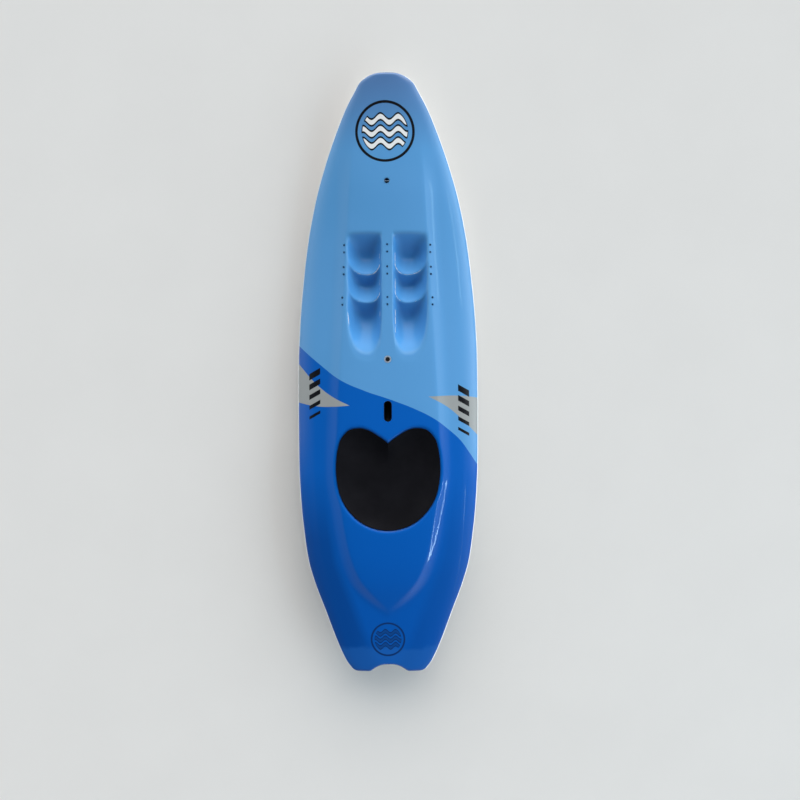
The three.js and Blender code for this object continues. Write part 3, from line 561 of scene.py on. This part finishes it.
def below(tree, value, limit):
    """One where a value lies under its limit, with the soft edge of a sprayed line."""
    return ramped(tree, value, limit + paint_edge, limit - paint_edge)


def layered(tree, under, over, mask):
    node = tree.nodes.new("ShaderNodeMix")
    node.data_type = "RGBA"
    for socket, value in ((node.inputs[6], under), (node.inputs[7], over)):
        if isinstance(value, tuple):
            socket.default_value = value
        else:
            tree.links.new(value, socket)
    tree.links.new(mask, node.inputs[0])
    return node.outputs[2]


def grained(tree, source, scale, detail=3.0, roughness=0.5):
    node = tree.nodes.new("ShaderNodeTexNoise")
    node.inputs["Scale"].default_value = scale
    node.inputs["Detail"].default_value = detail
    node.inputs["Roughness"].default_value = roughness
    tree.links.new(source, node.inputs["Vector"])
    return node.outputs["Fac"]


def bumped(tree, height, shader, strength, distance, socket="Normal"):
    node = tree.nodes.new("ShaderNodeBump")
    node.inputs["Strength"].default_value = strength
    node.inputs["Distance"].default_value = distance
    tree.links.new(height, node.inputs["Height"])
    tree.links.new(node.outputs["Normal"], shader.inputs[socket])


def toned(tree, shader, tone, other, value, low, high):
    """Gives a shader a colour that wanders between two tones."""
    tree.links.new(layered(tree, tone, other, ramped(tree, value, low, high)), shader.inputs["Base Color"])


def noted(tree, name):
    """A number that was left on the points of a piece."""
    note = tree.nodes.new("ShaderNodeAttribute")
    note.attribute_name = name
    return note.outputs["Fac"]


def drawn_line(tree, across, table, span, corners=()):
    """A line over the deck: the place along the ski for each place across it, with sharp corners."""
    low, high = span
    node = tree.nodes.new("ShaderNodeFloatCurve")
    curve = node.mapping.curves[0]
    points = [((y + curve_reach) / (2 * curve_reach), (x - low) / (high - low)) for y, x in table]
    curve.points[0].location = points[0]
    curve.points[1].location = points[-1]
    for point in points[1:-1]:
        curve.points.new(*point)
    for corner in corners:
        curve.points[corner].handle_type = "VECTOR"
    node.mapping.update()
    tree.links.new(ramped(tree, across, -curve_reach, curve_reach), node.inputs["Value"])
    return ramped(tree, node.outputs["Value"], 0, 1, low, high)


def past_line(tree, value, line):
    return ramped(tree, less(tree, value, line), -paint_edge, paint_edge)


lacquer_roughness, lacquer_specular = 0.42, 0.1
coat_roughness, coat_bending = 0.045, 1.42
orange_peel = (55, 2, 0.4)


def lacquer_coat(tree, shader, source):
    shader.inputs["Roughness"].default_value = lacquer_roughness
    shader.inputs["Specular IOR Level"].default_value = lacquer_specular
    shader.inputs["Coat Weight"].default_value = 1.0
    shader.inputs["Coat Roughness"].default_value = coat_roughness
    shader.inputs["Coat IOR"].default_value = coat_bending
    bumped(tree, grained(tree, source, *orange_peel), shader, 0.06, 0.002, "Coat Normal")


paint, tree, shader, source = new_finish("deck_lacquer_paint")
along, across, _ = parts_of(tree, source)
gap, dull_and_shaded = noted(tree, "rail_gap"), noted(tree, "dullness_and_shade")
cloud = grained(tree, source, 2.2, 2)
light = layered(tree, light_blue, light_cloudy, ramped(tree, cloud, 0.35, 0.65))
# Painted reflection: the light blue turns greyer over the last of the nose, as if it mirrored darker
# surroundings.
light = layered(tree, light, light_with_painted_nose_reflection, ramped(tree, along, *painted_nose_reflection_ramp))
# Painted shade: the light blue is darker and deeper in the wells and round the seat, as far as the dullness
# number reaches.
light = layered(tree, light, light_with_painted_hollow_shade, dull_and_shaded)
# Painted shade: the dark blue deepens towards the tail.
dark = layered(tree, dark_blue, dark_with_painted_tail_shade, ramped(tree, along, *painted_tail_shade_ramp))
# Painted shade: the dark blue is deeper on the flanks near the rail towards the tail, more on the port side.
painted_flank_shade = times(tree, ramped(tree, gap, *flank_shade_gap), ramped(tree, along, *flank_shade_run))
dark = layered(tree, dark, dark_with_painted_flank_shade, times(tree, painted_flank_shade, ramped(tree, across, *flank_shade_sides)))
# Painted reflection: the dark blue turns paler at the very end of the tail, with a wandering edge, as if it
# mirrored a pale ground.
painted_reflection_edge = worked(tree, "ADD", along, times(tree, grained(tree, source, 16, 2), tail_reflection_wander))
dark = layered(tree, dark, dark_with_painted_tail_reflection, ramped(tree, painted_reflection_edge, *tail_reflection_run))
colour = layered(tree, dark, light, past_line(tree, along, drawn_line(tree, across, divide, divide_span)))
front = drawn_line(tree, across, spear_front, spear_span, front_corners)
back = drawn_line(tree, across, spear_back, spear_span, back_corners)
spear = times(tree, past_line(tree, front, along), past_line(tree, along, back))
colour = layered(tree, colour, spear_grey, spear)

dash_lane, dash_lead, dash_soft = 0.038, 0.092, 0.012
first_dash, dash_growth = 0.32, 0.085
dash_half_width, dashes_half_length = 0.022, 0.0945


def dashes(middle_x, middle_y, lean_share):
    """Five slanted dashes that grow towards the nose."""
    slanted = worked(tree, "ADD", along, times(tree, across, lean_share))
    start = middle_x + middle_y * lean_share
    lanes = worked(tree, "DIVIDE", less(tree, slanted, start - dash_lead), dash_lane)
    width = worked(tree, "ADD", times(tree, worked(tree, "FLOOR", lanes), dash_growth), first_dash)
    row = ramped(tree, less(tree, width, worked(tree, "FRACT", lanes)), -dash_soft, dash_soft)
    box = times(tree, below(tree, apart(tree, across, middle_y), dash_half_width),
                below(tree, apart(tree, slanted, start), dashes_half_length))
    return times(tree, row, box)


colour = layered(tree, colour, ink_black, dashes(1.096, 0.284, 0.55))
colour = layered(tree, colour, ink_black, dashes(1.030, -0.294, -0.55))

roll_length_share, roll_height_share, wave_rows = 0.62, 0.10, (1.51, 1.49)
black_field, black_band, pale_field, pale_band = 0.82, 0.36, 0.79, 0.20


def badge(colour, middle, radius, ring, wave, dark_tone, pale_tone):
    """A ring round three rolling waves."""
    dx, dy = less(tree, along, middle[0]), less(tree, across, middle[1])
    away = worked(tree, "SQRT", worked(tree, "ADD", times(tree, dx, dx), times(tree, dy, dy)))
    colour = layered(tree, colour, dark_tone, below(tree, apart(tree, away, radius), ring))
    swell = worked(tree, "SINE", times(tree, dy, 2 * math.pi / (roll_length_share * radius)))
    rolled = less(tree, dx, times(tree, swell, roll_height_share * radius))
    lane = worked(tree, "DIVIDE", rolled, wave)
    off = times(tree, apart(tree, lane, worked(tree, "ROUND", lane)), wave)
    three = ramped(tree, worked(tree, "ABSOLUTE", lane), *wave_rows)
    for tone, field, band in ((dark_tone, black_field, black_band), (pale_tone, pale_field, pale_band)):
        inside = times(tree, below(tree, away, radius * field), three)
        colour = layered(tree, colour, tone, times(tree, below(tree, off, wave * band), inside))
    return colour


colour = badge(colour, (2.082, 0.006), 0.108, 0.005, 0.044, ink_black, badge_white)
colour = badge(colour, (0.134, 0.004), 0.064, 0.0035, 0.026, badge_navy, badge_blue)
colour = layered(tree, colour, rail_white, ramped(tree, gap, *rail_stripe))
tree.links.new(colour, shader.inputs["Base Color"])
lacquer_coat(tree, shader, source)
near_rail = times(tree, ramped(tree, gap, *dark_rail_gap), ramped(tree, along, *dark_rail_run))
coat = times(tree, ramped(tree, dull_and_shaded, 0, 1, 1, dull_coat), ramped(tree, near_rail, 0, 1, 1, rail_coat))
tree.links.new(coat, shader.inputs["Coat Weight"])
deck.data.materials.clear()
deck.data.materials.append(paint)

# Hull skin. A second moulding, white, with a flat belly and rounded bilges. It meets the deck along
# the rail, where the two are bonded, and is cut open for the three fin boxes.
hull_roundness = 3.4
belly_clear = 0.0004
side_middle, side_offset, side_cant, side_toe = 0.345, 0.186, math.radians(5), math.radians(2.5)
centre_middle, centre_room_shift = 0.165, 0.009
side_room, centre_room, room_reach = (0.1152, 0.0206), (0.2332, 0.0256), (-0.02, 0.02)
slope_reach = 0.006


def hull_heights(x, y):
    across = np.minimum(1, np.abs(y) / half_width(x))
    bilge = 1 - (1 - across ** hull_roundness) ** (1 / hull_roundness)
    return keel(x) + belly_clear * (1 - bilge) + (rail_line(x) - keel(x)) * bilge


def under_hull(x, side):
    """Where a fin stands: square to the hull, and at the sides leaning out and toed in."""
    y = side * side_offset
    at = (x, y, float(hull_heights(np.array([x]), np.array([y]))[0]))
    ends = keel(np.array([x - slope_reach, x + slope_reach]))
    slope = Matrix.Rotation(-math.atan2(ends[1] - ends[0], 2 * slope_reach), 4, "Y")
    cant = Matrix.Rotation(side * side_cant if side else 0, 4, "X")
    toe = Matrix.Rotation(-side * side_toe, 4, "Z")
    return Matrix.Translation(at) @ slope @ toe @ cant


hull = lay_on_ski("hull_skin", sheet_mesh("hull_skin", ski_sheet(hull_heights, -1), up=False))
thickened(hull)
box_rooms = []
for place, side, shift, room in ((side_middle, 1, 0, side_room), (side_middle, -1, 0, side_room),
                                 (centre_middle, 0, centre_room_shift, centre_room)):
    stand = under_hull(place, side)
    box_rooms.append([[stand @ Vector(point) for point in slot_loop(*room, h, 12, (shift, 0))]
                      for h in room_reach])
drilled(hull, "fin_box_rooms", box_rooms)
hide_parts("hull_shell")

white_coat, tree, shader, source = new_finish("hull_lacquer_white")
toned(tree, shader, (0.80, 0.81, 0.80, 1), (0.74, 0.755, 0.755, 1), grained(tree, source, 3, 3), 0.3, 0.7)
lacquer_coat(tree, shader, source)
hull.data.materials.append(white_coat)


# Core. Two halves of white bead foam glued to a plywood stringer, wholly inside the skins. These
# keep the shapes of the solid model and get a finish only, as the fin boxes and screws do below.
def finished(names, finish):
    for name in names:
        frame["nodes"][name].data.materials.clear()
        frame["nodes"][name].data.materials.append(finish)


bead_scale = 260
bead_foam, tree, shader, source = new_finish("bead_foam")
beads = tree.nodes.new("ShaderNodeTexVoronoi")
beads.inputs["Scale"].default_value = bead_scale
tree.links.new(source, beads.inputs["Vector"])
toned(tree, shader, (0.86, 0.85, 0.80, 1), (0.74, 0.73, 0.68, 1), beads.outputs["Distance"], 0.2, 0.8)
shader.inputs["Roughness"].default_value = 0.9
bumped(tree, beads.outputs["Distance"], shader, 0.3, 0.001)
plywood, tree, shader, source = new_finish("stringer_ply")
stretch = tree.nodes.new("ShaderNodeMapping")
stretch.inputs["Scale"].default_value = (4, 300, 60)
tree.links.new(source, stretch.inputs["Vector"])
veneer = grained(tree, stretch.outputs["Vector"], 1.5, 6, 0.65)
toned(tree, shader, (0.55, 0.36, 0.19, 1), (0.36, 0.21, 0.10, 1), veneer, 0.35, 0.7)
shader.inputs["Roughness"].default_value = 0.65
finished(("foam_core_port", "foam_core_starboard"), bead_foam)
finished(("stringer",), plywood)

# Seat pad. Closed-cell foam, 6 mm thick, cut to the outline of the bucket with a point between the
# legs, glued in and bevelled round its edge. Its face has a fine nap.
pad_thickness, pad_bevel, pad_gap = 0.006, 0.002, 0.0003
pad_headings = np.radians(np.arange(0, 360, 2.0))
pad_degrees = np.abs(np.degrees(np.arctan2(np.sin(pad_headings), np.cos(pad_headings))))
pad_shares = [0.12, 0.24, 0.36, 0.48, 0.58, 0.67, 0.75, 0.82, 0.88, 0.92, 0.95, 0.975]


def pad_ring(share, drawn_in, lift):
    reach = seat_reach(pad_degrees) * share - drawn_in
    x = seat_middle + reach * np.cos(pad_headings)
    y = reach * np.sin(pad_headings)
    return np.stack((x, y, deck_heights(x, y) + lift), axis=1).tolist()


pad_rings = [pad_ring(share, 0, pad_gap) for share in pad_shares + [1.0]]
pad_rings += [pad_ring(1.0, pad_bevel * (1 - math.cos(t)), pad_thickness - pad_bevel * (1 - math.sin(t)))
              for t in np.linspace(0, math.pi / 2, 5)]
pad_rings += [pad_ring(share, pad_bevel, pad_thickness) for share in reversed(pad_shares)]
seat_cushion = joined_rings("seat_cushion", pad_rings)
form = bmesh.new()
form.from_mesh(seat_cushion)
bmesh.ops.poke(form, faces=[face for face in form.faces if len(face.verts) > 4])
form.to_mesh(seat_cushion)
form.free()
pad = lay_on_ski("seat_cushion", seat_cushion)
smooth_shaded(pad.data, 50)
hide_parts("seat_pad")

nap, tree, shader, source = new_finish("pad_foam_nap")
worn = grained(tree, source, 9, 4, 0.6)
toned(tree, shader, (0.0040, 0.0040, 0.0058, 1), (0.0070, 0.0070, 0.0095, 1), worn, 0.35, 0.7)
shader.inputs["Roughness"].default_value = 0.78
shader.inputs["Specular IOR Level"].default_value = 0.06
bumped(tree, grained(tree, source, 900, 2, 0.6), shader, 0.5, 0.0006)
pad.data.materials.append(nap)

# Carry handle. A deep black moulded cup with round ends, let into the deck ahead of the seat, its rim
# standing a hair proud of the paint.
cup_depth, cup_wall, proud = 0.042, 0.0025, 0.0004
cup_corner, cup_corner_cut, cup_inner_corner, cup_inner_cut = 0.004, 0.001, 0.005, 0.0015
cup_top = deck_at(handle_middle, 0) + proud
cup_floor = -cup_depth + cup_wall
cup_profile = [(cup_corner, -cup_depth), (cup_corner_cut, -cup_depth + cup_corner_cut),
               (0, -cup_depth + cup_corner), (0, -cup_wall / 2)]
cup_profile += [(cup_wall / 2 * (1 - math.cos(t)), -cup_wall / 2 * (1 - math.sin(t)))
                for t in np.linspace(0, math.pi, 7)[1:-1]]
cup_profile += [(cup_wall, -cup_wall / 2), (cup_wall, cup_floor + cup_inner_corner),
                (cup_wall + cup_inner_cut, cup_floor + cup_inner_cut),
                (cup_wall + cup_inner_corner, cup_floor)]
cup_loops = [slot_loop(handle_length - 2 * inset, handle_width - 2 * inset, cup_top + down, 14,
                       (handle_middle, 0)) for inset, down in cup_profile]
cup = lay_on_ski("handle_cup_moulding", joined_rings("handle_cup_moulding", cup_loops))
smooth_shaded(cup.data)
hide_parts("handle_cup")


def moulded(name, tone, grain_scale=700, gloss=0.5):
    """Moulded plastic, with a fine grain and paler blooms."""
    finish, tree, shader, source = new_finish(name)
    bloom = tuple(1.7 * c for c in tone[:3]) + (1,)
    toned(tree, shader, tone, bloom, grained(tree, source, 40, 4), 0.35, 0.75)
    handled = ramped(tree, grained(tree, source, 60, 3), 0.3, 0.7, 0.38, 0.52)
    tree.links.new(handled, shader.inputs["Roughness"])
    shader.inputs["Specular IOR Level"].default_value = gloss
    bumped(tree, grained(tree, source, grain_scale, 2), shader, 0.25, 0.0004)
    return finish


cup.data.materials.append(moulded("cup_black_grain", (0.0018, 0.0018, 0.0028, 1), gloss=0.12))

# Strap inserts. Eighteen small threaded plugs, bonded into the foam in pairs beside and between the
# wells, to take the screws of foot straps.
insert_bore, insert_length, insert_bore_depth = 0.002, 0.016, 0.012
insert_chamfer, insert_edge, insert_foot = 0.0006, 0.0003, 0.0012
insert_tip, drill_point = 0.0008, 0.0012
thread_pitch, thread_depth = 0.0008, 0.00025
insert_profile = [(insert_foot, -insert_length), (insert_radius - insert_chamfer, -insert_length),
                  (insert_radius, -insert_length + insert_chamfer), (insert_radius, proud - insert_edge),
                  (insert_radius - insert_edge, proud), (insert_bore + insert_chamfer, proud),
                  (insert_bore, proud - insert_chamfer)]
for k in range(int(insert_bore_depth / thread_pitch) - 1):
    top = proud - insert_chamfer - k * thread_pitch
    insert_profile += [(insert_bore + thread_depth, top - thread_pitch / 2),
                       (insert_bore, top - thread_pitch)]
insert_profile += [(insert_tip, insert_profile[-1][1] - drill_point)]
insert_black = moulded("insert_black_moulding", (0.012, 0.060, 0.150, 1), 900, 0.2)
for number, place in enumerate(insert_places, 1):
    name = f"strap_insert_{number:02d}"
    bush = turned_mesh(name + "_bush", insert_profile, 24, place, deck_at(*place))
    insert = lay_on_ski(name + "_bush", bush)
    smooth_shaded(insert.data, 40)
    insert.data.materials.append(insert_black)
    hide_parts(name)

# Leash plug. A small round cup near the nose with a steel pin across its mouth for the leash cord.
# Its rim was sprayed with the deck; the bore stayed black.
leash_wall, leash_depth, pin_radius, pin_drop, pin_chamfer = 0.002, 0.018, 0.0018, 0.005, 0.0004
leash_edge, leash_foot, leash_fillet, leash_flats = 0.0006, 0.001, 0.003, (0.004, 0.003)
leash_top = deck_at(leash_middle, 0) + proud
leash_bore, leash_floor = leash_radius - leash_wall, -leash_depth + leash_wall
leash_profile = [(leash_flats[0], -leash_depth), (leash_radius - leash_foot, -leash_depth),
                 (leash_radius, -leash_depth + leash_foot), (leash_radius, -leash_edge),
                 (leash_radius - leash_edge, 0), (leash_bore + leash_edge, 0), (leash_bore, -leash_edge),
                 (leash_bore, leash_floor + leash_fillet), (leash_bore - leash_fillet, leash_floor),
                 (leash_flats[1], leash_floor)]
plug = lay_on_ski("leash_cup", turned_mesh("leash_cup", leash_profile, 40, (leash_middle, 0), leash_top))
smooth_shaded(plug.data)
black_mould = moulded("moulded_black_grain", (0.006, 0.006, 0.0075, 1), gloss=0.3)
sprayed_rim, tree, shader, source = new_finish("leash_plug_sprayed_rim")
spray_from, spray_to, spray_wander = leash_top - 0.0012, leash_top - 0.0006, 0.0006
_, _, level = parts_of(tree, source)
wear = worked(tree, "ADD", level, times(tree, grained(tree, source, 90, 2), spray_wander))
toned(tree, shader, (0.004, 0.010, 0.026, 1), light_blue, wear, spray_from, spray_to)
lacquer_coat(tree, shader, source)
plug.data.materials.append(sprayed_rim)
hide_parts("leash_plug")
pin_half = leash_bore - pin_chamfer
pin_loops, pin_tip_share = [], 0.8
for reach, share in ((-pin_half, pin_tip_share), (-pin_half + pin_chamfer, 1),
                     (pin_half - pin_chamfer, 1), (pin_half, pin_tip_share)):
    circle = round_loop(share * pin_radius, reach, 20, (leash_middle, leash_top - pin_drop))
    pin_loops.append([(x, y, z) for x, z, y in circle])
pin = lay_on_ski("leash_cross_pin", joined_rings("leash_cross_pin", pin_loops))
smooth_shaded(pin.data)
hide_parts("leash_pin")


def turned_metal(name, tone, brighter, low_roughness, high_roughness):
    finish, tree, shader, source = new_finish(name)
    brushing = grained(tree, source, 420, 5, 0.7)
    shader.inputs["Metallic"].default_value = 1.0
    toned(tree, shader, tone, brighter, brushing, 0.3, 0.7)
    roughness = ramped(tree, brushing, 0.3, 0.7, low_roughness, high_roughness)
    tree.links.new(roughness, shader.inputs["Roughness"])
    bumped(tree, brushing, shader, 0.12, 0.0002)
    return finish


steel = turned_metal("turned_steel", (0.52, 0.53, 0.54, 1), (0.62, 0.63, 0.64, 1), 0.22, 0.34)
dulled_steel = turned_metal("dulled_steel", (0.20, 0.29, 0.42, 1), (0.26, 0.35, 0.48, 1), 0.5, 0.65)
blasted_steel = turned_metal("blasted_steel", (0.42, 0.50, 0.62, 1), (0.55, 0.62, 0.72, 1), 0.5, 0.65)
pin.data.materials.append(dulled_steel)

# Vent. A turned socket with a thin flange, closed by a screw plug with a coin slot over a rubber ring.
# The plug is opened on land so that warm air can leave the core.
vent_place = (vent_middle, 0)
vent_top = deck_at(*vent_place) + proud
vent_body, vent_length, vent_bore = 0.011, 0.024, 0.005
vent_pocket, vent_pocket_depth, vent_flange = 0.009, 0.005, 0.003
flange_round, flange_foot, pocket_edge = 0.0012, 0.0005, 0.0006
socket_profile = [(vent_bore, -vent_length), (vent_body, -vent_length), (vent_body, -vent_flange),
                  (vent_radius - flange_foot, -vent_flange), (vent_radius, -vent_flange + flange_foot),
                  (vent_radius, -flange_round), (vent_radius - flange_round, 0),
                  (vent_pocket + pocket_edge, 0), (vent_pocket, -pocket_edge),
                  (vent_pocket, -vent_pocket_depth), (vent_bore, -vent_pocket_depth)]
socket_mesh = turned_mesh("vent_flange", socket_profile, 48, vent_place, vent_top, bored=True)
socket = lay_on_ski("vent_flange", socket_mesh)
smooth_shaded(socket.data)
socket.data.materials.append(blasted_steel)
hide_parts("vent_socket")

ring_tube, vent_clear, ring_sides = 0.0008, 0.0003, 12
head_height, head_radius, head_edge, head_clear = 0.0028, 0.0085, 0.0006, 0.0006
shank_length, shank_flat = 0.018, 0.002
slot_size, slot_reach = (0.0155, 0.0022), (-0.0016, 0.003)
head_bottom = -vent_pocket_depth + 2 * ring_tube + head_clear
head_top = head_bottom + head_height
shank = vent_bore - vent_clear
plug_profile = [(shank_flat, head_top - shank_length), (shank - head_edge, head_top - shank_length),
                (shank, head_top - shank_length + head_edge), (shank, head_bottom),
                (head_radius, head_bottom), (head_radius, head_top - head_edge),
                (head_radius - head_edge, head_top)]
plug_mesh = turned_mesh("vent_screw_plug", plug_profile, 40, vent_place, vent_top)
vent_plug = lay_on_ski("vent_screw_plug", plug_mesh, "vent")
coin_slot = [slot_loop(*slot_size, vent_top + head_top + h, 6, vent_place) for h in slot_reach]
drilled(vent_plug, "coin_slot", [coin_slot], 30)
vent_plug.data.materials.clear()
vent_plug.data.materials.append(black_mould)
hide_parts("vent_plug")

ring_middle = vent_bore + ring_tube + vent_clear
ring_height = -vent_pocket_depth + vent_clear + ring_tube
ring_turns = [2 * math.pi * k / ring_sides for k in range(ring_sides)]
ring_circle = [(ring_middle + ring_tube * math.cos(t), ring_height + ring_tube * math.sin(t))
               for t in ring_turns]
seal_mesh = turned_mesh("vent_seal", ring_circle, 40, vent_place, vent_top, bored=True)
seal = lay_on_ski("vent_seal", seal_mesh, "vent")
smooth_shaded(seal.data, 60)
seal.data.materials.append(moulded("seal_rubber_matt", (0.007, 0.007, 0.007, 1), 1200))
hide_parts("vent_o_ring")

# Fins. Three raked foils of glass laminate with a blunt nose and a thin tail. Each stands on a tab
# that sits in a black box under the tail; the outer two lean out and toe in.
fin_base, fin_height, fin_rake, fin_thickness = 0.112, 0.108, 0.062, 0.008
fin_narrowing, narrowing_power, rake_power = 0.7, 1.5, 1.35
fin_thinning, tip_power, tip_share, thin_tip_share = 0.72, 6, 0.82, 0.7
foil_shape = [(0, 0), (0.06, 0.55), (0.2, 0.92), (0.4, 1), (0.65, 0.78), (0.88, 0.34), (1, 0.06)]
foil_nose, nose_bulge = 0.06, 0.85
foil_stations = (1, 0.97, 0.93, 0.88, 0.8, 0.7, 0.58, 0.45, 0.3, 0.15, 0)
tab_length, tab_thickness, side_tab_depth, centre_tab_depth = 0.096, 0.0064, 0.014, 0.0105
tab_chamfer, tab_overlap = 0.0008, 0.001
fin_gap = 0.0003


def fin_chord(down):
    narrowing = 1 - fin_narrowing * down ** narrowing_power
    tip = down ** tip_power
    chord = fin_base * narrowing * math.sqrt(1 - tip_share * tip)
    thickness = fin_thickness * (1 - fin_thinning * down) * math.sqrt(1 - thin_tip_share * tip)
    leading = fin_base / 2 - fin_rake * down ** rake_power - (fin_base * narrowing - chord) / 2
    return chord, thickness, leading


def fin_mesh(name, tab_top):
    loops = []
    backs = np.linspace(0, 1, 15) ** 1.5
    blunt = nose_bulge * np.sqrt(backs) * (backs < foil_nose) * 2
    bulges = np.maximum(faired(foil_shape, backs), blunt)
    bulges[0] = 0
    for down in foil_stations:
        chord, thickness, leading = fin_chord(down)
        left = [(leading - back * chord, bulge * thickness / 2, -down * fin_height - fin_gap)
                for back, bulge in zip(backs, bulges)]
        loops.append(left + [(x, -y, z) for x, y, z in left[:0:-1]])
    tab_loops = [slot_loop(tab_length - 2 * inset, tab_thickness - 2 * inset, z, 5)
                 for inset, z in ((0, -tab_overlap), (0, tab_top - tab_chamfer), (tab_chamfer, tab_top))]
    return merged(name, [joined_rings(name, loops), joined_rings(name + "_tab", tab_loops)])


laminate, tree, shader, source = new_finish("fin_laminate_gloss")
fibres = grained(tree, source, 300, 3, 0.7)
toned(tree, shader, (0.020, 0.023, 0.029, 1), (0.035, 0.039, 0.047, 1), fibres, 0.3, 0.7)
shader.inputs["Roughness"].default_value = 0.3
shader.inputs["Coat Weight"].default_value = 0.8
shader.inputs["Coat Roughness"].default_value = 0.08
bumped(tree, fibres, shader, 0.06, 0.0003)
for node, place, side, tab_top, body in (
        ("port_fin", side_middle, 1, side_tab_depth, "ski"),
        ("starboard_fin", side_middle, -1, side_tab_depth, "ski"),
        ("centre_fin", centre_middle, 0, centre_tab_depth, "fin")):
    mesh = fin_mesh(node + "_foil", tab_top)
    mesh.transform(under_hull(place, side))
    fin = lay_on_ski(node + "_foil", mesh, body)
    smooth_shaded(fin.data, 40)
    fin.data.materials.append(laminate)
    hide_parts(node)

# Fin boxes and their screws. The boxes are moulded plastic, bonded in flush with the hull. Two grub
# screws hold each side fin; the middle one slides in a long box and is held by a screw and a plate.
finished(("port_fin_box", "starboard_fin_box", "centre_fin_box"), black_mould)
finished(("port_grub_screw_1", "port_grub_screw_2", "starboard_grub_screw_1", "starboard_grub_screw_2",
          "fin_screw", "fin_plate"), steel)

# Stage. A plain pale floor and open light all round: bright to starboard, dim to port, dark overhead
# and brightest low beyond the nose, so that the walls of the wells that face the tail are in shade.
# Two strip lamps draw the long lines of light on the starboard ridge.
floor_reach = 30
floor_mesh = bpy.data.meshes.new("floor")
floor_mesh.from_pydata([(-floor_reach, -floor_reach, 0), (floor_reach, -floor_reach, 0),
                        (floor_reach, floor_reach, 0), (-floor_reach, floor_reach, 0)], [], [(0, 1, 2, 3)])
floor = bpy.data.objects.new("floor", floor_mesh)
shared_collection.objects.link(floor)
pale, tree, shader, source = new_finish("pale_floor")
toned(tree, shader, (0.765, 0.76, 0.755, 1), (0.75, 0.745, 0.74, 1), grained(tree, source, 3, 4), 0.3, 0.7)
shader.inputs["Roughness"].default_value = 0.85
shader.inputs["Specular IOR Level"].default_value = 0.2
floor_mesh.materials.append(pale)

dim_side, bright_side = (0.47, 0.49, 0.51, 1), (2.14, 2.38, 2.52, 1)
dark_zenith, warm_glow, plain_wall = (0.012, 0.030, 0.050, 1), (4.35, 4.1, 3.8, 1), (0.69, 0.69, 0.69, 1)
bright_aim, bright_span, zenith_span = (0.7, -0.7, 0), (-0.85, 0.35), (0.40, 0.80)
glow_aim, glow_span = Vector((0.93, -0.12, 0.36)).normalized(), (0.68, 0.99)
world = bpy.data.worlds.new("studio")
bpy.context.scene.world = world
world.use_nodes = True
tree = world.node_tree
direction = tree.nodes.new("ShaderNodeTexCoord").outputs["Generated"]


def facing(aim):
    """How far a direction of the world looks towards an aim."""
    node = tree.nodes.new("ShaderNodeVectorMath")
    node.operation = "DOT_PRODUCT"
    node.inputs[1].default_value = aim
    tree.links.new(direction, node.inputs[0])
    return node.outputs["Value"]


_, _, upward = parts_of(tree, direction)
room = layered(tree, dim_side, bright_side, ramped(tree, facing(bright_aim), *bright_span))
room = layered(tree, room, dark_zenith, ramped(tree, upward, *zenith_span))
glow = ramped(tree, facing(glow_aim), *glow_span)
glow.node.interpolation_type = "SMOOTHSTEP"
room = layered(tree, room, warm_glow, glow)
seen = tree.nodes.new("ShaderNodeLightPath").outputs["Is Camera Ray"]
tree.links.new(layered(tree, room, plain_wall, seen), tree.nodes["Background"].inputs["Color"])


def strip_lamp(name, place, aim, width, height, power):
    data = bpy.data.lights.new(name, "AREA")
    data.shape = "RECTANGLE"
    data.size, data.size_y = width, height
    data.energy = power
    data.color = (0.55, 0.85, 1.0)
    lamp = bpy.data.objects.new(name, data)
    shared_collection.objects.link(lamp)
    lamp.location = place
    lamp.rotation_euler = (Vector(aim) - Vector(place)).to_track_quat("-Z", "Y").to_euler()


strip_lamp("strip_beside_seat", (-1.8, -2.95, 3.0), (-1.8, -0.2, 0.18), 2.0, 0.05, 8)
strip_lamp("strip_beside_bow", (1.5, -2.85, 3.0), (1.5, -0.2, 0.12), 0.9, 0.16, 1.3)

bpy.context.scene.view_settings.view_transform = "Standard"
